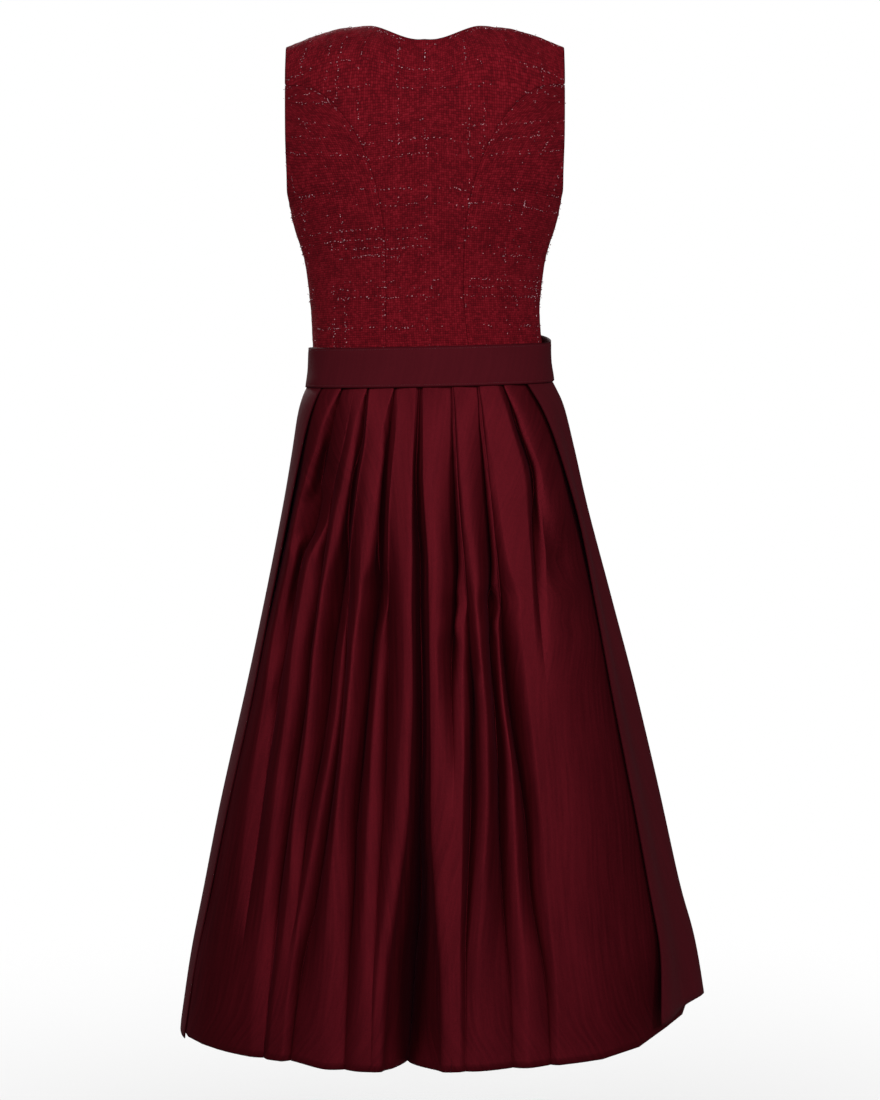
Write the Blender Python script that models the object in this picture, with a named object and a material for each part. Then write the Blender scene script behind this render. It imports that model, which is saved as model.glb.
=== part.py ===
"""A sleeveless dirndl with its apron: worn, hollow, with the back as the photograph shows it.

Metres, +Z up. The wearer faces +Y, so the back of the dress faces -Y and +X is the wearer's right.
The origin lies midway between the shoulder seams, on which the dress hangs.
An angle goes round the body from the centre back and grows toward +X, so 90 degrees is the right side.
A height is a way up from the waist seam on the bodice, and a drop is a way down from it on the skirt.
"""
import math

import bpy
import bmesh
import numpy as np
from mathutils import Vector

# Driving sizes of a size 38 dress with a skirt 81 cm long
SHOULDER_HEIGHT = 0.412
ORIGIN_HEIGHT = 0.400
SKIRT_LENGTH = 0.811
APRON_LENGTH = 0.795
NECK_HALF_WIDTH = 0.080
BACK_NECK_DEPTH = 0.034
BACK_NECK_START = 0.280
FRONT_NECK_BOTTOM = 0.260
UNDERARM_HEIGHT = 0.205

# Cloth thicknesses, and the gap that is left between sewn pieces
TWEED = 0.0018
SATIN = 0.0012
APRON_CLOTH = 0.0014
TIE_CLOTH = 0.0015
GAP = 0.0003

# The dress hangs a little askew: its left side sits lower, by this share of the way across
TILT = 0.0215

# Bust of the worn bodice: two soft rounds shaped by the front seams
BUST_DEPTH = 0.018
BUST_SIDE = 0.085
BUST_HEIGHT = 0.170
BUST_SPREAD = 0.050

TWEED_RED = (93, 15, 23)
SATIN_RED = (80, 18, 26)
APRON_RED = (69, 19, 26)


class Table:
    """Rows of named columns, read between the rows by a cubic curve that never overshoots them."""

    def __init__(self, columns, rows):
        values = np.array(rows, float)
        self.key = values[:, 0]
        self.names = columns.split()[1:]
        self.columns = {name: values[:, i] for i, name in enumerate(columns.split())}
        self.slopes = {name: steady_slopes(self.key, column) for name, column in self.columns.items()}

    def at(self, column, key):
        key = min(max(key, self.key[0]), self.key[-1])
        row = min(int(np.searchsorted(self.key, key, side="right")) - 1, len(self.key) - 2)
        step = self.key[row + 1] - self.key[row]
        t = (key - self.key[row]) / step
        value, slope = self.columns[column], self.slopes[column]
        low = value[row] * (1 + 2 * t) * (1 - t) ** 2 + value[row + 1] * t * t * (3 - 2 * t)
        return float(low + step * t * (1 - t) * (slope[row] * (1 - t) - slope[row + 1] * t))


def steady_slopes(key, value):
    """Slopes at the rows for a cubic that keeps the rows' own rises and falls."""
    step = np.diff(key)
    rise = np.diff(value) / step
    slope = np.zeros_like(value)
    for i in range(1, len(key) - 1):
        if rise[i - 1] * rise[i] > 0:
            near, far = 2 * step[i] + step[i - 1], step[i] + 2 * step[i - 1]
            slope[i] = (near + far) / (near / rise[i - 1] + far / rise[i])
    slope[0], slope[-1] = rise[0], rise[-1]
    return slope


def mix(a, b, share):
    return a + (b - a) * share


def ease(share):
    """A soft start and end between 0 and 1."""
    share = min(max(share, 0.0), 1.0)
    return share * share * (3 - 2 * share)


# The bodice's form: half width, depth of the back and of the front, and how far its middle lies to the front
WIDTH = Table("height half", [
    (0.000, 0.1395), (0.060, 0.1388), (0.100, 0.1418), (0.133, 0.1462), (0.151, 0.1505), (0.170, 0.1562),
    (0.188, 0.1610), (0.206, 0.1642), (0.225, 0.1735), (0.250, 0.1790), (0.300, 0.1850), (0.360, 0.1878),
    (0.412, 0.1878)])
BACK = Table("height depth", [
    (0.000, 0.097), (0.100, 0.100), (0.200, 0.113), (0.280, 0.116), (0.340, 0.103), (0.375, 0.083),
    (0.400, 0.045), (0.408, 0.025), (0.412, 0.000)])
FRONT = Table("height depth", [
    (0.000, 0.095), (0.060, 0.098), (0.120, 0.108), (0.170, 0.118), (0.220, 0.112), (0.280, 0.090),
    (0.340, 0.060), (0.380, 0.035), (0.412, 0.000)])
MIDDLE = Table("height forward shift", [
    (0.000, 0.000, 0.0050), (0.040, 0.000, 0.0015), (0.080, 0.000, 0.0000), (0.200, 0.000, 0.0000),
    (0.340, -0.006, 0.0000), (0.412, -0.010, 0.0000)])
SHOULDER_RIDGE = Table("side height", [
    (0.000, 0.419), (0.080, 0.406), (0.100, 0.404), (0.120, 0.399), (0.136, 0.394), (0.151, 0.388),
    (0.169, 0.381)])

# Where the princess seams lie from the centre, and the armhole's edge by its angle from the centre back
BACK_SEAM = Table("height side", [
    (0.000, 0.050), (0.100, 0.046), (0.160, 0.048), (0.200, 0.054), (0.240, 0.065), (0.280, 0.083),
    (0.310, 0.103), (0.335, 0.125), (0.350, 0.146), (0.360, 0.1675)])
FRONT_SEAM = Table("height side", [
    (0.000, 0.052), (0.060, 0.062), (0.120, 0.080), (0.170, 0.092), (0.210, 0.100), (0.250, 0.118),
    (0.280, 0.140), (0.295, 0.156)])
BACK_ARMHOLE = Table("height angle", [
    (0.205, 90.0), (0.212, 80.0), (0.225, 73.0), (0.250, 68.0), (0.300, 64.5), (0.360, 62.8), (0.412, 62.8)])
FRONT_ARMHOLE = Table("height angle", [
    (0.205, 90.0), (0.215, 100.0), (0.240, 112.0), (0.280, 121.0), (0.320, 124.0), (0.360, 122.0),
    (0.412, 117.2)])
BACK_SEAM_END = 0.360
FRONT_SEAM_END = 0.2945

# The skirt's bell: half width and depths, how far its middle leans to the right, and how far it lies in
# under the apron on each side
BELL = Table("drop half back front lean under_right under_left", [
    (0.0000, 0.1415, 0.0995, 0.0975, 0.0050, 0.0000, 0.0000),
    (0.0223, 0.1490, 0.1110, 0.1070, 0.0055, 0.0035, 0.0035),
    (0.0320, 0.1535, 0.1150, 0.1110, 0.0058, 0.0040, 0.0040),
    (0.0500, 0.1600, 0.1220, 0.1160, 0.0070, 0.0050, 0.0050),
    (0.1050, 0.1725, 0.1380, 0.1275, 0.0095, 0.0090, 0.0085),
    (0.1660, 0.1852, 0.1525, 0.1390, 0.0113, 0.0120, 0.0105),
    (0.2900, 0.2138, 0.1770, 0.1600, 0.0149, 0.0155, 0.0120),
    (0.4100, 0.2425, 0.1965, 0.1815, 0.0174, 0.0185, 0.0130),
    (0.5300, 0.2705, 0.2150, 0.2010, 0.0178, 0.0210, 0.0135),
    (0.6540, 0.2968, 0.2340, 0.2210, 0.0192, 0.0235, 0.0135),
    (0.7150, 0.3105, 0.2430, 0.2310, 0.0210, 0.0245, 0.0135),
    (0.8110, 0.3260, 0.2560, 0.2450, 0.0222, 0.0250, 0.0135)])
SKIRT_ROWS = (0.012, 0.0223, 0.034, 0.050, 0.090, 0.140, 0.200, 0.280, 0.370, 0.470, 0.570, 0.680)

# Each pleat's valley on the left of the back by the sine of its angle, and its depth in millimetres
LEFT_PLACE = Table("drop left_1b left_2 left_2b left_3 left_3b left_4", [
    (0.00, 0.220, 0.278, 0.450, 0.492, 0.620, 0.694),
    (0.10, 0.270, 0.340, 0.500, 0.546, 0.680, 0.780),
    (0.25, 0.290, 0.370, 0.540, 0.590, 0.720, 0.835),
    (0.50, 0.265, 0.377, 0.510, 0.585, 0.700, 0.835),
    (0.81, 0.285, 0.360, 0.530, 0.626, 0.690, 0.800)])
LEFT_DEPTH = Table("drop left_1b left_2 left_2b left_3 left_3b left_4", [
    (0.00, 0, 3, 0, 3, 0, 3), (0.10, 0, 14, 0, 12, 0, 10), (0.25, 6, 24, 6, 24, 8, 20),
    (0.50, 12, 16, 10, 16, 10, 10), (0.81, 2, 4, 2, 12, 5, 3)])
RIGHT_PLACE = Table("drop right_2 right_3 right_3b right_4", [
    (0.00, 0.174, 0.379, 0.450, 0.577), (0.10, 0.150, 0.360, 0.440, 0.650), (0.25, 0.148, 0.340, 0.400, 0.620),
    (0.50, 0.155, 0.295, 0.390, 0.600), (0.81, 0.110, 0.230, 0.410, 0.600)])
RIGHT_DEPTH = Table("drop right_2 right_3 right_3b right_4", [
    (0.00, 3, 3, 0, 3), (0.10, 12, 13, 0, 14), (0.25, 18, 24, 8, 12), (0.50, 12, 20, 18, 2), (0.81, 1, 6, 5, 1)])
# The inverted pleat at the centre back: its two edges, its valley and its depth; and the plain pleats'
# depth under the apron
CENTRE_PLEAT = Table("drop left_edge valley right_edge depth covered", [
    (0.00, -0.065, -0.056, -0.045, 3, 3), (0.10, -0.160, -0.105, -0.030, 12, 8),
    (0.25, -0.180, -0.100, -0.030, 28, 10), (0.50, -0.190, -0.086, -0.030, 36, 8),
    (0.81, -0.225, -0.134, -0.020, 50, 6)])
SOFT_PLEATS = ("left_1b", "left_2b", "left_3b", "right_3b")
LEFT_COVERED = (79.0,)
RIGHT_COVERED = (66.0, 79.0)
FRONT_COVERED = tuple(96.0 + 11.8 * i for i in range(7))
# A pleat's mouth is the way from its valley to the fold's edge: narrow at the waist, full from a drop on
PLEAT_MOUTH = 0.010
SOFT_MOUTH = 0.022
MOUTH_AT_WAIST = 0.002
MOUTH_FULL_DROP = 0.250
MOUTH_OF_ROOM = 0.45
# Down to this drop the pressed pleats lie on each other and the inside is smooth
STACK_DROP = 0.060
STRIP_STEPS = (0.35, 0.70)
COVERED_STEPS = (0.5,)
CENTRE_SLOPE = 0.6
SHARPEST_MITRE = 0.5
MM = 0.001

# The apron's side edges by their angle from the centre back
APRON_EDGE = Table("drop left right", [
    (0.020, 60.0, 51.0), (0.100, 68.0, 61.0), (0.190, 71.5, 66.0), (0.290, 72.5, 63.0),
    (0.410, 71.5, 60.0), (0.650, 74.0, 59.0), (0.800, 76.0, 53.0)])
APRON_HANG = Table("drop out fold", [
    (0.0223, -0.0001, 0.0000), (0.050, 0.0010, 0.0012), (0.090, 0.0004, 0.0034), (0.140, 0.0000, 0.0052),
    (0.280, 0.0000, 0.0075), (0.500, 0.0000, 0.0085), (0.800, 0.0000, 0.0085)])
# Folds of the gathered apron from its right edge round the front to its left edge
APRON_FOLDS = [dict(zip(("share", "depth"), row)) for row in (
    (1.80, 1.30), (1.00, 0.80), (0.80, 1.00), (1.15, 0.75), (0.90, 1.10), (1.05, 0.85), (0.85, 1.00),
    (1.20, 0.90), (0.80, 0.75), (1.00, 1.10), (1.10, 0.85), (0.85, 1.00), (1.10, 0.60))]
APRON_RECESS_RAMP = {"right": 7.0, "left": 3.5}

# The tie's ring round the waist, from its top edge to its bottom edge
TIE_RING = Table("way_down half back front", [
    (0.0, 0.1480, 0.1050, 0.1035), (0.5, 0.1488, 0.1090, 0.1080), (1.0, 0.1520, 0.1142, 0.1103)])
TIE_TOP = 0.023
TIE_BOTTOM = -0.024
TIE_SHIFT = 0.0055
TIE_RISE = 0.012
TIE_RISE_START, TIE_RISE_FULL = 70.0, 135.0
TIE_FALL_START, TIE_FALL_END = 175.0, 250.0
TIE_JOIN = -100.0
WAISTBAND_TOP = 0.020
WAISTBAND_BOTTOM = -0.022
WAISTBAND_UNDER = 0.0020

# The bow at the wearer's right front
KNOT_ANGLE = 164.0
KNOT_SIZE = (0.044, 0.022, 0.036)
KNOT_SQUARENESS = 0.62
KNOT_HEIGHT = 0.010
KNOT_TURN = 0.125
KNOT_SEAT = 0.0008
TIE_WIDTH = 0.046
LOOP_LENGTH = 0.092
LOOP_PINCH = 0.024
LOOP_DROOP = 0.014
LOOP_TUCK = {"left": 0.0006, "right": 0.0011}
# One bow loop from the knot along its back layer to the far turn and back along its front layer
LOOP_PATH = [dict(zip(("along", "out"), row)) for row in (
    (0.035, 0.005), (0.055, 0.004), (0.076, 0.004), (0.088, 0.006), (LOOP_LENGTH, 0.012),
    (0.088, 0.018), (0.076, 0.021), (0.055, 0.020), (0.035, 0.016))]
LOOP_ROOT = (0.006, 0.012)
TAIL_PINCH = 0.015
TAIL_LENGTH = {"left": 0.350, "right": 0.315}
TAIL_SLANT = 0.030
TAIL_TURN = {"left": (3.6, 10.0), "right": (-3.6, -9.0)}
TAIL_OUT = 0.007
TAIL_LIFT = {"left": 0.002, "right": 0.010}
TAIL_WAVE = 0.003
TAIL_ROWS = 15
ACROSS_TIE = (-0.5, -0.25, 0.0, 0.25, 0.5)


def paint(name, colour, roughness):
    """A Principled material of a colour given as the photograph's 0 to 255 values."""
    material = bpy.data.materials.new(name)
    material.use_nodes = True
    shader = material.node_tree.nodes["Principled BSDF"]
    linear = [((c / 255 + 0.055) / 1.055) ** 2.4 for c in colour]
    shader.inputs["Base Color"].default_value = (*linear, 1.0)
    shader.inputs["Roughness"].default_value = roughness
    shader.inputs["Metallic"].default_value = 0.0
    return material


def make_object(name, bm, colour, roughness):
    """Turn the faces outward, shade the piece smooth and put it into the scene."""
    bm.normal_update()
    bmesh.ops.recalc_face_normals(bm, faces=bm.faces)
    if bm.calc_volume(signed=True) < 0:
        bmesh.ops.reverse_faces(bm, faces=bm.faces)
    mesh = bpy.data.meshes.new(name)
    bm.to_mesh(mesh)
    bm.free()
    mesh.shade_smooth()
    mesh.set_sharp_from_angle(angle=math.radians(40))
    mesh.materials.append(paint(name, colour, roughness))
    bpy.context.collection.objects.link(bpy.data.objects.new(name, mesh))


def wall(name, outer, inner, colour, roughness):
    """A cloth wall between two grids of points that have the same rows and columns."""
    bm = bmesh.new()
    faces_of = []
    for grid in (outer, inner):
        faces_of.append([[bm.verts.new(point) for point in row] for row in grid])
    rows, columns = len(outer), len(outer[0])
    for grid in faces_of:
        for i in range(rows - 1):
            for j in range(columns - 1):
                a, b = grid[i][j], grid[i][j + 1]
                c, d = grid[i + 1][j + 1], grid[i + 1][j]
                bm.faces.new((a, b, c))
                bm.faces.new((a, c, d))
    out, back = faces_of
    rim = [(0, j) for j in range(columns)] + [(i, columns - 1) for i in range(1, rows)]
    rim += [(rows - 1, j) for j in range(columns - 2, -1, -1)] + [(i, 0) for i in range(rows - 2, 0, -1)]
    for (i, j), (k, m) in zip(rim, rim[1:] + rim[:1]):
        bm.faces.new((out[i][j], out[k][m], back[k][m]))
        bm.faces.new((out[i][j], back[k][m], back[i][j]))
    make_object(name, bm, colour, roughness)


# Bodice

def torso(angle, height):
    """A point on the bodice's outer face."""
    turn, facing = math.sin(angle), math.cos(angle)
    side = WIDTH.at("half", height) * turn
    depth = (BACK if facing > 0 else FRONT).at("depth", height)
    y = MIDDLE.at("forward", height) - depth * facing
    if facing < 0:
        away = ((abs(side) - BUST_SIDE) ** 2 + (height - BUST_HEIGHT) ** 2) / (2 * BUST_SPREAD ** 2)
        y += BUST_DEPTH * math.exp(-away) * (1 - turn ** 4)
    up = height * SHOULDER_RIDGE.at("height", abs(side)) / SHOULDER_HEIGHT
    up += TILT * side * (1 - height / SHOULDER_HEIGHT)
    return Vector((side + MIDDLE.at("shift", height), y, up - ORIGIN_HEIGHT))


def torso_normal(angle, height):
    """Outward from the bodice's form; along the shoulder seam it has no way forward or back."""
    turn, rise = 0.002, 0.0005
    low, high = max(height - rise, 0.0), min(height + rise, SHOULDER_HEIGHT)
    around = torso(angle + turn, height) - torso(angle - turn, height)
    normal = around.cross(torso(angle, high) - torso(angle, low))
    if height > SHOULDER_HEIGHT - rise:
        normal.y = 0.0
    return normal.normalized()


def angle_of(side, height):
    """The angle at which the form is so far to the side, on its back half."""
    return math.asin(max(-1.0, min(1.0, side / WIDTH.at("half", height))))


def seam_inset(table, height):
    """Half the seam's gap, measured sideways on a seam that slants."""
    rise = 0.001
    slope = (table.at("side", height + rise) - table.at("side", height - rise)) / (2 * rise)
    return GAP / 2 * math.hypot(1.0, slope)


def lowered_neck(angle, height):
    """The back's upper part is lowered round the neck, so that its top edge is the neckline."""
    side = WIDTH.at("half", height) * math.sin(angle)
    span = min(abs(side) / NECK_HALF_WIDTH, 1.0)
    dip = BACK_NECK_DEPTH * (1 + math.cos(math.pi * span)) / 2
    height -= dip * ease((height - BACK_NECK_START) / (SHOULDER_HEIGHT - BACK_NECK_START))
    return angle_of(side, height), height


def bodice_panel(name, heights, edges, shares, place=None, seam_shift=0.0):
    """A tweed panel between two edges that are given as angles for each height."""
    outer, inner = [], []
    for height in heights:
        first, last = edges(height)
        spots = [(mix(first, last, share), height) for share in shares]
        if place:
            spots = [place(*spot) for spot in spots]
        points = [torso(*spot) for spot in spots]
        if height == SHOULDER_HEIGHT:
            for point in points:
                point.y += seam_shift
        points = [point + Vector((0, 0, GAP / 2)) if height == 0 else point for point in points]
        outer.append(points)
        inner.append([point - torso_normal(*spot) * TWEED for point, spot in zip(points, spots)])
    wall(name, outer, inner, TWEED_RED, 0.9)


def back_edges(height):
    if height <= BACK_SEAM_END:
        edge = angle_of(BACK_SEAM.at("side", height) - seam_inset(BACK_SEAM, height), height)
    else:
        edge = math.radians(BACK_ARMHOLE.at("angle", height))
    return -edge, edge


def side_back_edges(height, hand):
    seam = angle_of(BACK_SEAM.at("side", height) + seam_inset(BACK_SEAM, height), height)
    edge = math.radians(BACK_ARMHOLE.at("angle", height)) - GAP / 2 / BACK.at("depth", height)
    return hand * seam, hand * edge


def side_front_edges(height, hand):
    seam = angle_of(FRONT_SEAM.at("side", height) + seam_inset(FRONT_SEAM, height), height)
    edge = math.radians(FRONT_ARMHOLE.at("angle", height)) + GAP / 2 / FRONT.at("depth", height)
    return hand * (math.pi - seam), hand * edge


def front_edges(height, hand):
    reach = (SHOULDER_HEIGHT - height) / (SHOULDER_HEIGHT - FRONT_NECK_BOTTOM)
    neck = NECK_HALF_WIDTH * math.sqrt(max(0.0, 1 - reach * reach)) if reach < 1 else 0.0
    centre = math.pi - angle_of(max(neck, GAP / 2), height)
    if height <= FRONT_SEAM_END:
        edge = math.pi - angle_of(FRONT_SEAM.at("side", height) - seam_inset(FRONT_SEAM, height), height)
    else:
        edge = math.radians(FRONT_ARMHOLE.at("angle", height))
    return hand * centre, hand * edge


def build_bodice():
    low_rows = (0.0, 0.04, 0.08, 0.12, 0.16, UNDERARM_HEIGHT)
    shoulder_rows = (0.378, 0.392, 0.403, 0.4095, SHOULDER_HEIGHT)
    back_side_rows = low_rows + (0.212, 0.225, 0.250, 0.280, 0.310, 0.335, 0.350, BACK_SEAM_END)
    front_side_rows = low_rows + (0.215, 0.228, 0.240, FRONT_NECK_BOTTOM, 0.2615, 0.266, 0.280, FRONT_SEAM_END)
    front_rows = front_side_rows + (0.315, 0.340, 0.360) + shoulder_rows
    half_shares = (0.0, 0.118, 0.237, 0.355, 0.440, 0.505, 0.650, 0.830, 1.0)
    shares = [(1 - s) / 2 for s in reversed(half_shares[1:])] + [(1 + s) / 2 for s in half_shares]
    bodice_panel("bodice_back", back_side_rows + shoulder_rows, back_edges, shares, lowered_neck, -GAP / 2)
    quarters = (0.0, 0.25, 0.5, 0.75, 1.0)
    fronts = (0.0, 0.14, 0.30, 0.48, 0.66, 0.84, 1.0)
    for hand, word in ((-1, "left"), (1, "right")):
        bodice_panel(f"bodice_side_back_{word}", back_side_rows, lambda h: side_back_edges(h, hand), quarters)
        bodice_panel(f"bodice_side_front_{word}", front_side_rows, lambda h: side_front_edges(h, hand), quarters)
        bodice_panel(f"bodice_front_{word}", front_rows, lambda h: front_edges(h, hand), fronts, None, GAP / 2)


# Skirt

def bell(angle, drop, out=0.0):
    """A point of the skirt's bell before it hangs askew, moved out level by a distance."""
    half, depth = BELL.at("half", drop), BELL.at("back" if math.cos(angle) > 0 else "front", drop)
    level = Vector((math.sin(angle) / half, -math.cos(angle) / depth, 0.0)).normalized()
    return Vector((half * math.sin(angle), -depth * math.cos(angle), -drop)) + level * out


def hang(point):
    """Lean a point of the skirt to the right and lower its left side."""
    lean = BELL.at("lean", -point.z)
    return Vector((point.x + lean, point.y, point.z + TILT * point.x - ORIGIN_HEIGHT))


def under_apron(angle, drop):
    """How far the skirt lies in beneath the apron."""
    hand = "right" if angle > 0 else "left"
    past = math.degrees(abs(angle)) - APRON_EDGE.at(hand, drop)
    front = ease(math.degrees(abs(angle)) / 90 - 1)
    depth = mix(BELL.at(f"under_{hand}", drop), BELL.at("under_right", drop), front)
    return depth * ease(past / APRON_RECESS_RAMP[hand] + 1)


def pleat_run(start, valleys, drop, last, steps=STRIP_STEPS):
    """Angles and insets from one edge outward: each strip sinks into a valley and ends at a fold's edge."""
    run, edge = [(start, 0.0)], start
    opening = ease(drop / MOUTH_FULL_DROP)
    for number, (valley, depth, mouth) in enumerate(valleys):
        run += [(mix(edge, valley, share), depth * ease(share)) for share in steps]
        run.append((valley, depth))
        room = (valleys[number + 1][0] if number + 1 < len(valleys) else last) - valley
        width = mix(MOUTH_AT_WAIST, mouth, opening) / BELL.at("half", drop)
        edge = valley + min(width, MOUTH_OF_ROOM * room)
        run.append((edge, 0.0))
    return run + [(last, 0.0)]


def named_valleys(places, depths, covered, drop):
    """Valleys of one side of the back, from the centre outward."""
    valleys = []
    for name in places.names:
        mouth = SOFT_MOUTH if name in SOFT_PLEATS else PLEAT_MOUTH
        valleys.append((math.asin(places.at(name, drop)), depths.at(name, drop) * MM, mouth))
    return valleys + plain_valleys(covered, drop)


def plain_valleys(degrees, drop):
    depth = CENTRE_PLEAT.at("covered", drop) * MM
    return [(math.radians(degree), depth, PLEAT_MOUTH) for degree in degrees]


def back_section(drop):
    """The pleated back from the left side seam to the right one."""
    quarter = math.pi / 2
    left_edge, valley, right_edge = (math.asin(CENTRE_PLEAT.at(name, drop))
                                     for name in ("left_edge", "valley", "right_edge"))
    depth = CENTRE_PLEAT.at("depth", drop) * MM
    left = pleat_run(-left_edge, named_valleys(LEFT_PLACE, LEFT_DEPTH, LEFT_COVERED, drop), drop, quarter)
    right = pleat_run(right_edge, named_valleys(RIGHT_PLACE, RIGHT_DEPTH, RIGHT_COVERED, drop), drop, quarter)
    centre = [(mix(left_edge, valley, 0.5), depth * CENTRE_SLOPE), (valley, depth),
              (mix(valley, right_edge, 0.5), depth * CENTRE_SLOPE)]
    return [(-angle, inset) for angle, inset in reversed(left)] + centre + right


def front_section(drop):
    """The pleated front from the right side seam round to the left one."""
    half = pleat_run(math.pi / 2, plain_valleys(FRONT_COVERED, drop), drop, math.pi, COVERED_STEPS)
    mirrored = [(2 * math.pi - angle, inset) for angle, inset in reversed(half[:-1])]
    return half + mirrored


def signed(angle):
    """The same direction between minus and plus half a turn."""
    return angle - 2 * math.pi if angle > math.pi else angle


def skirt_rows(section, drop, deepest):
    """Outer and inner points of one level row of the skirt."""
    columns = section(drop)
    outer = [bell(angle, drop, -inset - under_apron(signed(angle), drop)) for angle, inset in columns]
    inner = []
    for number, (angle, inset) in enumerate(columns):
        point = outer[number]
        if number in (0, len(columns) - 1):
            moved = point - Vector((math.copysign(SATIN, point.x), 0, 0))
        else:
            before, after = point - outer[number - 1], outer[number + 1] - point
            first = Vector((before.y, -before.x, 0)).normalized()
            second = Vector((after.y, -after.x, 0)).normalized()
            middle = (first + second).normalized()
            moved = point - middle * SATIN / max(middle.dot(first), SHARPEST_MITRE)
        plain = bell(angle, drop, -deepest - SATIN - under_apron(signed(angle), drop))
        inner.append(plain.lerp(moved, ease(drop / STACK_DROP)))
    return [hang(point) for point in outer], [hang(point) for point in inner]


def build_skirt():
    drops = (GAP / 2,) + SKIRT_ROWS + (SKIRT_LENGTH,)
    for name, section, shift in (("skirt_back", back_section, -GAP / 2), ("skirt_front", front_section, GAP / 2)):
        outer, inner = [], []
        for drop in drops:
            deepest = max(inset for angle, inset in back_section(drop))
            for grid, row in zip((outer, inner), skirt_rows(section, drop, deepest)):
                row[0].y += shift
                row[-1].y += shift
                grid.append(row)
        wall(name, outer, inner, SATIN_RED, 0.45)


# Apron

def apron_columns():
    """Places across the apron from its right edge to its left one, each with its fold's depth."""
    total = sum(fold["share"] for fold in APRON_FOLDS)
    columns, start = [], 0.0
    for fold in APRON_FOLDS:
        width = fold["share"] / total
        for step, sink in ((0.0, 0.0), (0.25, 0.5), (0.5, 1.0), (0.75, 0.5)):
            columns.append((start + width * step, fold["depth"] * sink))
        start += width
    return columns + [(1.0, 0.0)]


def apron_angle(share, drop):
    right = math.radians(APRON_EDGE.at("right", drop))
    left = 2 * math.pi - math.radians(APRON_EDGE.at("left", drop))
    return mix(right, left, share)


def build_apron_panel():
    drops = SKIRT_ROWS[1:] + (APRON_LENGTH,)
    columns = apron_columns()
    outer, inner = [], []
    for drop in drops:
        out, fold = APRON_HANG.at("out", drop), APRON_HANG.at("fold", drop)
        row = [(apron_angle(share, drop), out - fold * depth) for share, depth in columns]
        outer.append([hang(bell(angle, drop, way)) for angle, way in row])
        inner.append([hang(bell(angle, drop, way - APRON_CLOTH)) for angle, way in row])
    wall("apron_panel", outer, inner, APRON_RED, 0.5)


def tie_rise(degrees):
    """The tie climbs a little toward the bow at the right front."""
    climb = ease((degrees - TIE_RISE_START) / (TIE_RISE_FULL - TIE_RISE_START))
    return TIE_RISE * climb * (1 - ease((degrees - TIE_FALL_START) / (TIE_FALL_END - TIE_FALL_START)))


def tie_point(degrees, up, out, way_down):
    """A point round the waist at a height, out from the tie's own ring."""
    angle = math.radians(degrees)
    half = TIE_RING.at("half", way_down)
    depth = TIE_RING.at("back" if math.cos(angle) > 0 else "front", way_down)
    level = Vector((math.sin(angle) / half, -math.cos(angle) / depth, 0.0)).normalized()
    point = Vector((half * math.sin(angle), -depth * math.cos(angle), 0.0)) + level * out
    return Vector((point.x + TIE_SHIFT, point.y, up + TILT * point.x - ORIGIN_HEIGHT))


def band(name, first, last, steps, top, bottom, out, cloth, rise):
    """A flat band round the waist from one angle to another."""
    outer, inner = [], []
    for way in (0.0, 0.5, 1.0):
        height = mix(top, bottom, way)
        profile = (TIE_TOP - height) / (TIE_TOP - TIE_BOTTOM)
        spots = [mix(first, last, i / steps) for i in range(steps + 1)]
        outer.append([tie_point(d, height + rise(d % 360), out, profile) for d in spots])
        inner.append([tie_point(d, height + rise(d % 360), out - cloth, profile) for d in spots])
    wall(name, outer, inner, APRON_RED, 0.55)


def build_bands():
    slit = math.degrees(GAP / 2 / 0.11)
    band("apron_tie_back", TIE_JOIN + slit, KNOT_ANGLE - slit, 48, TIE_TOP, TIE_BOTTOM, 0.0, TIE_CLOTH, tie_rise)
    band("apron_tie_front", KNOT_ANGLE + slit, 360 + TIE_JOIN - slit, 24, TIE_TOP, TIE_BOTTOM, 0.0, TIE_CLOTH,
         tie_rise)
    band("apron_waistband", APRON_EDGE.at("right", 0.0), 360 - APRON_EDGE.at("left", 0.0), 40, WAISTBAND_TOP,
         WAISTBAND_BOTTOM, -WAISTBAND_UNDER, APRON_CLOTH, lambda degrees: 0.0)


# Bow

def knot_point(along, up, out, way_down=1.0):
    """A point beside the knot: along the waist toward the left, up, and out from the tie's own ring."""
    reach = math.degrees(along / KNOT_TURN)
    return tie_point(KNOT_ANGLE + reach, KNOT_HEIGHT + up, out, way_down)


def build_knot():
    bm = bmesh.new()
    bmesh.ops.create_uvsphere(bm, u_segments=12, v_segments=8, radius=1.0)
    for vert in bm.verts:
        along, out, up = (math.copysign(abs(c) ** KNOT_SQUARENESS, c) * size / 2
                          for c, size in zip(vert.co, KNOT_SIZE))
        vert.co = knot_point(along, up, out + KNOT_SIZE[1] / 2 + KNOT_SEAT, 0.5)
    make_object("apron_knot", bm, APRON_RED, 0.55)


def build_loop(word, hand):
    """One loop of the bow: a strip that leaves the knot, turns at its far end and comes back in front."""
    start = KNOT_SIZE[0] / 2 + GAP - LOOP_TUCK[word]
    path = [(start, LOOP_ROOT[0])] + [(spot["along"], spot["out"]) for spot in LOOP_PATH] + [(start, LOOP_ROOT[1])]
    outer, inner = [], []
    for across in ACROSS_TIE:
        near, far = [], []
        for number, (along, out) in enumerate(path):
            before, after = path[max(number - 1, 0)], path[min(number + 1, len(path) - 1)]
            way = Vector((after[0] - before[0], after[1] - before[1])).normalized()
            spread = mix(LOOP_PINCH, TIE_WIDTH, ease((along - start) / (0.6 * LOOP_LENGTH)))
            up = spread * across - LOOP_DROOP * (along / LOOP_LENGTH) ** 2
            near.append(knot_point(hand * along, up, out))
            far.append(knot_point(hand * (along - way.y * TIE_CLOTH), up, out + way.x * TIE_CLOTH))
        outer.append(near)
        inner.append(far)
    wall(f"apron_bow_loop_{word}", outer, inner, APRON_RED, 0.55)


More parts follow.
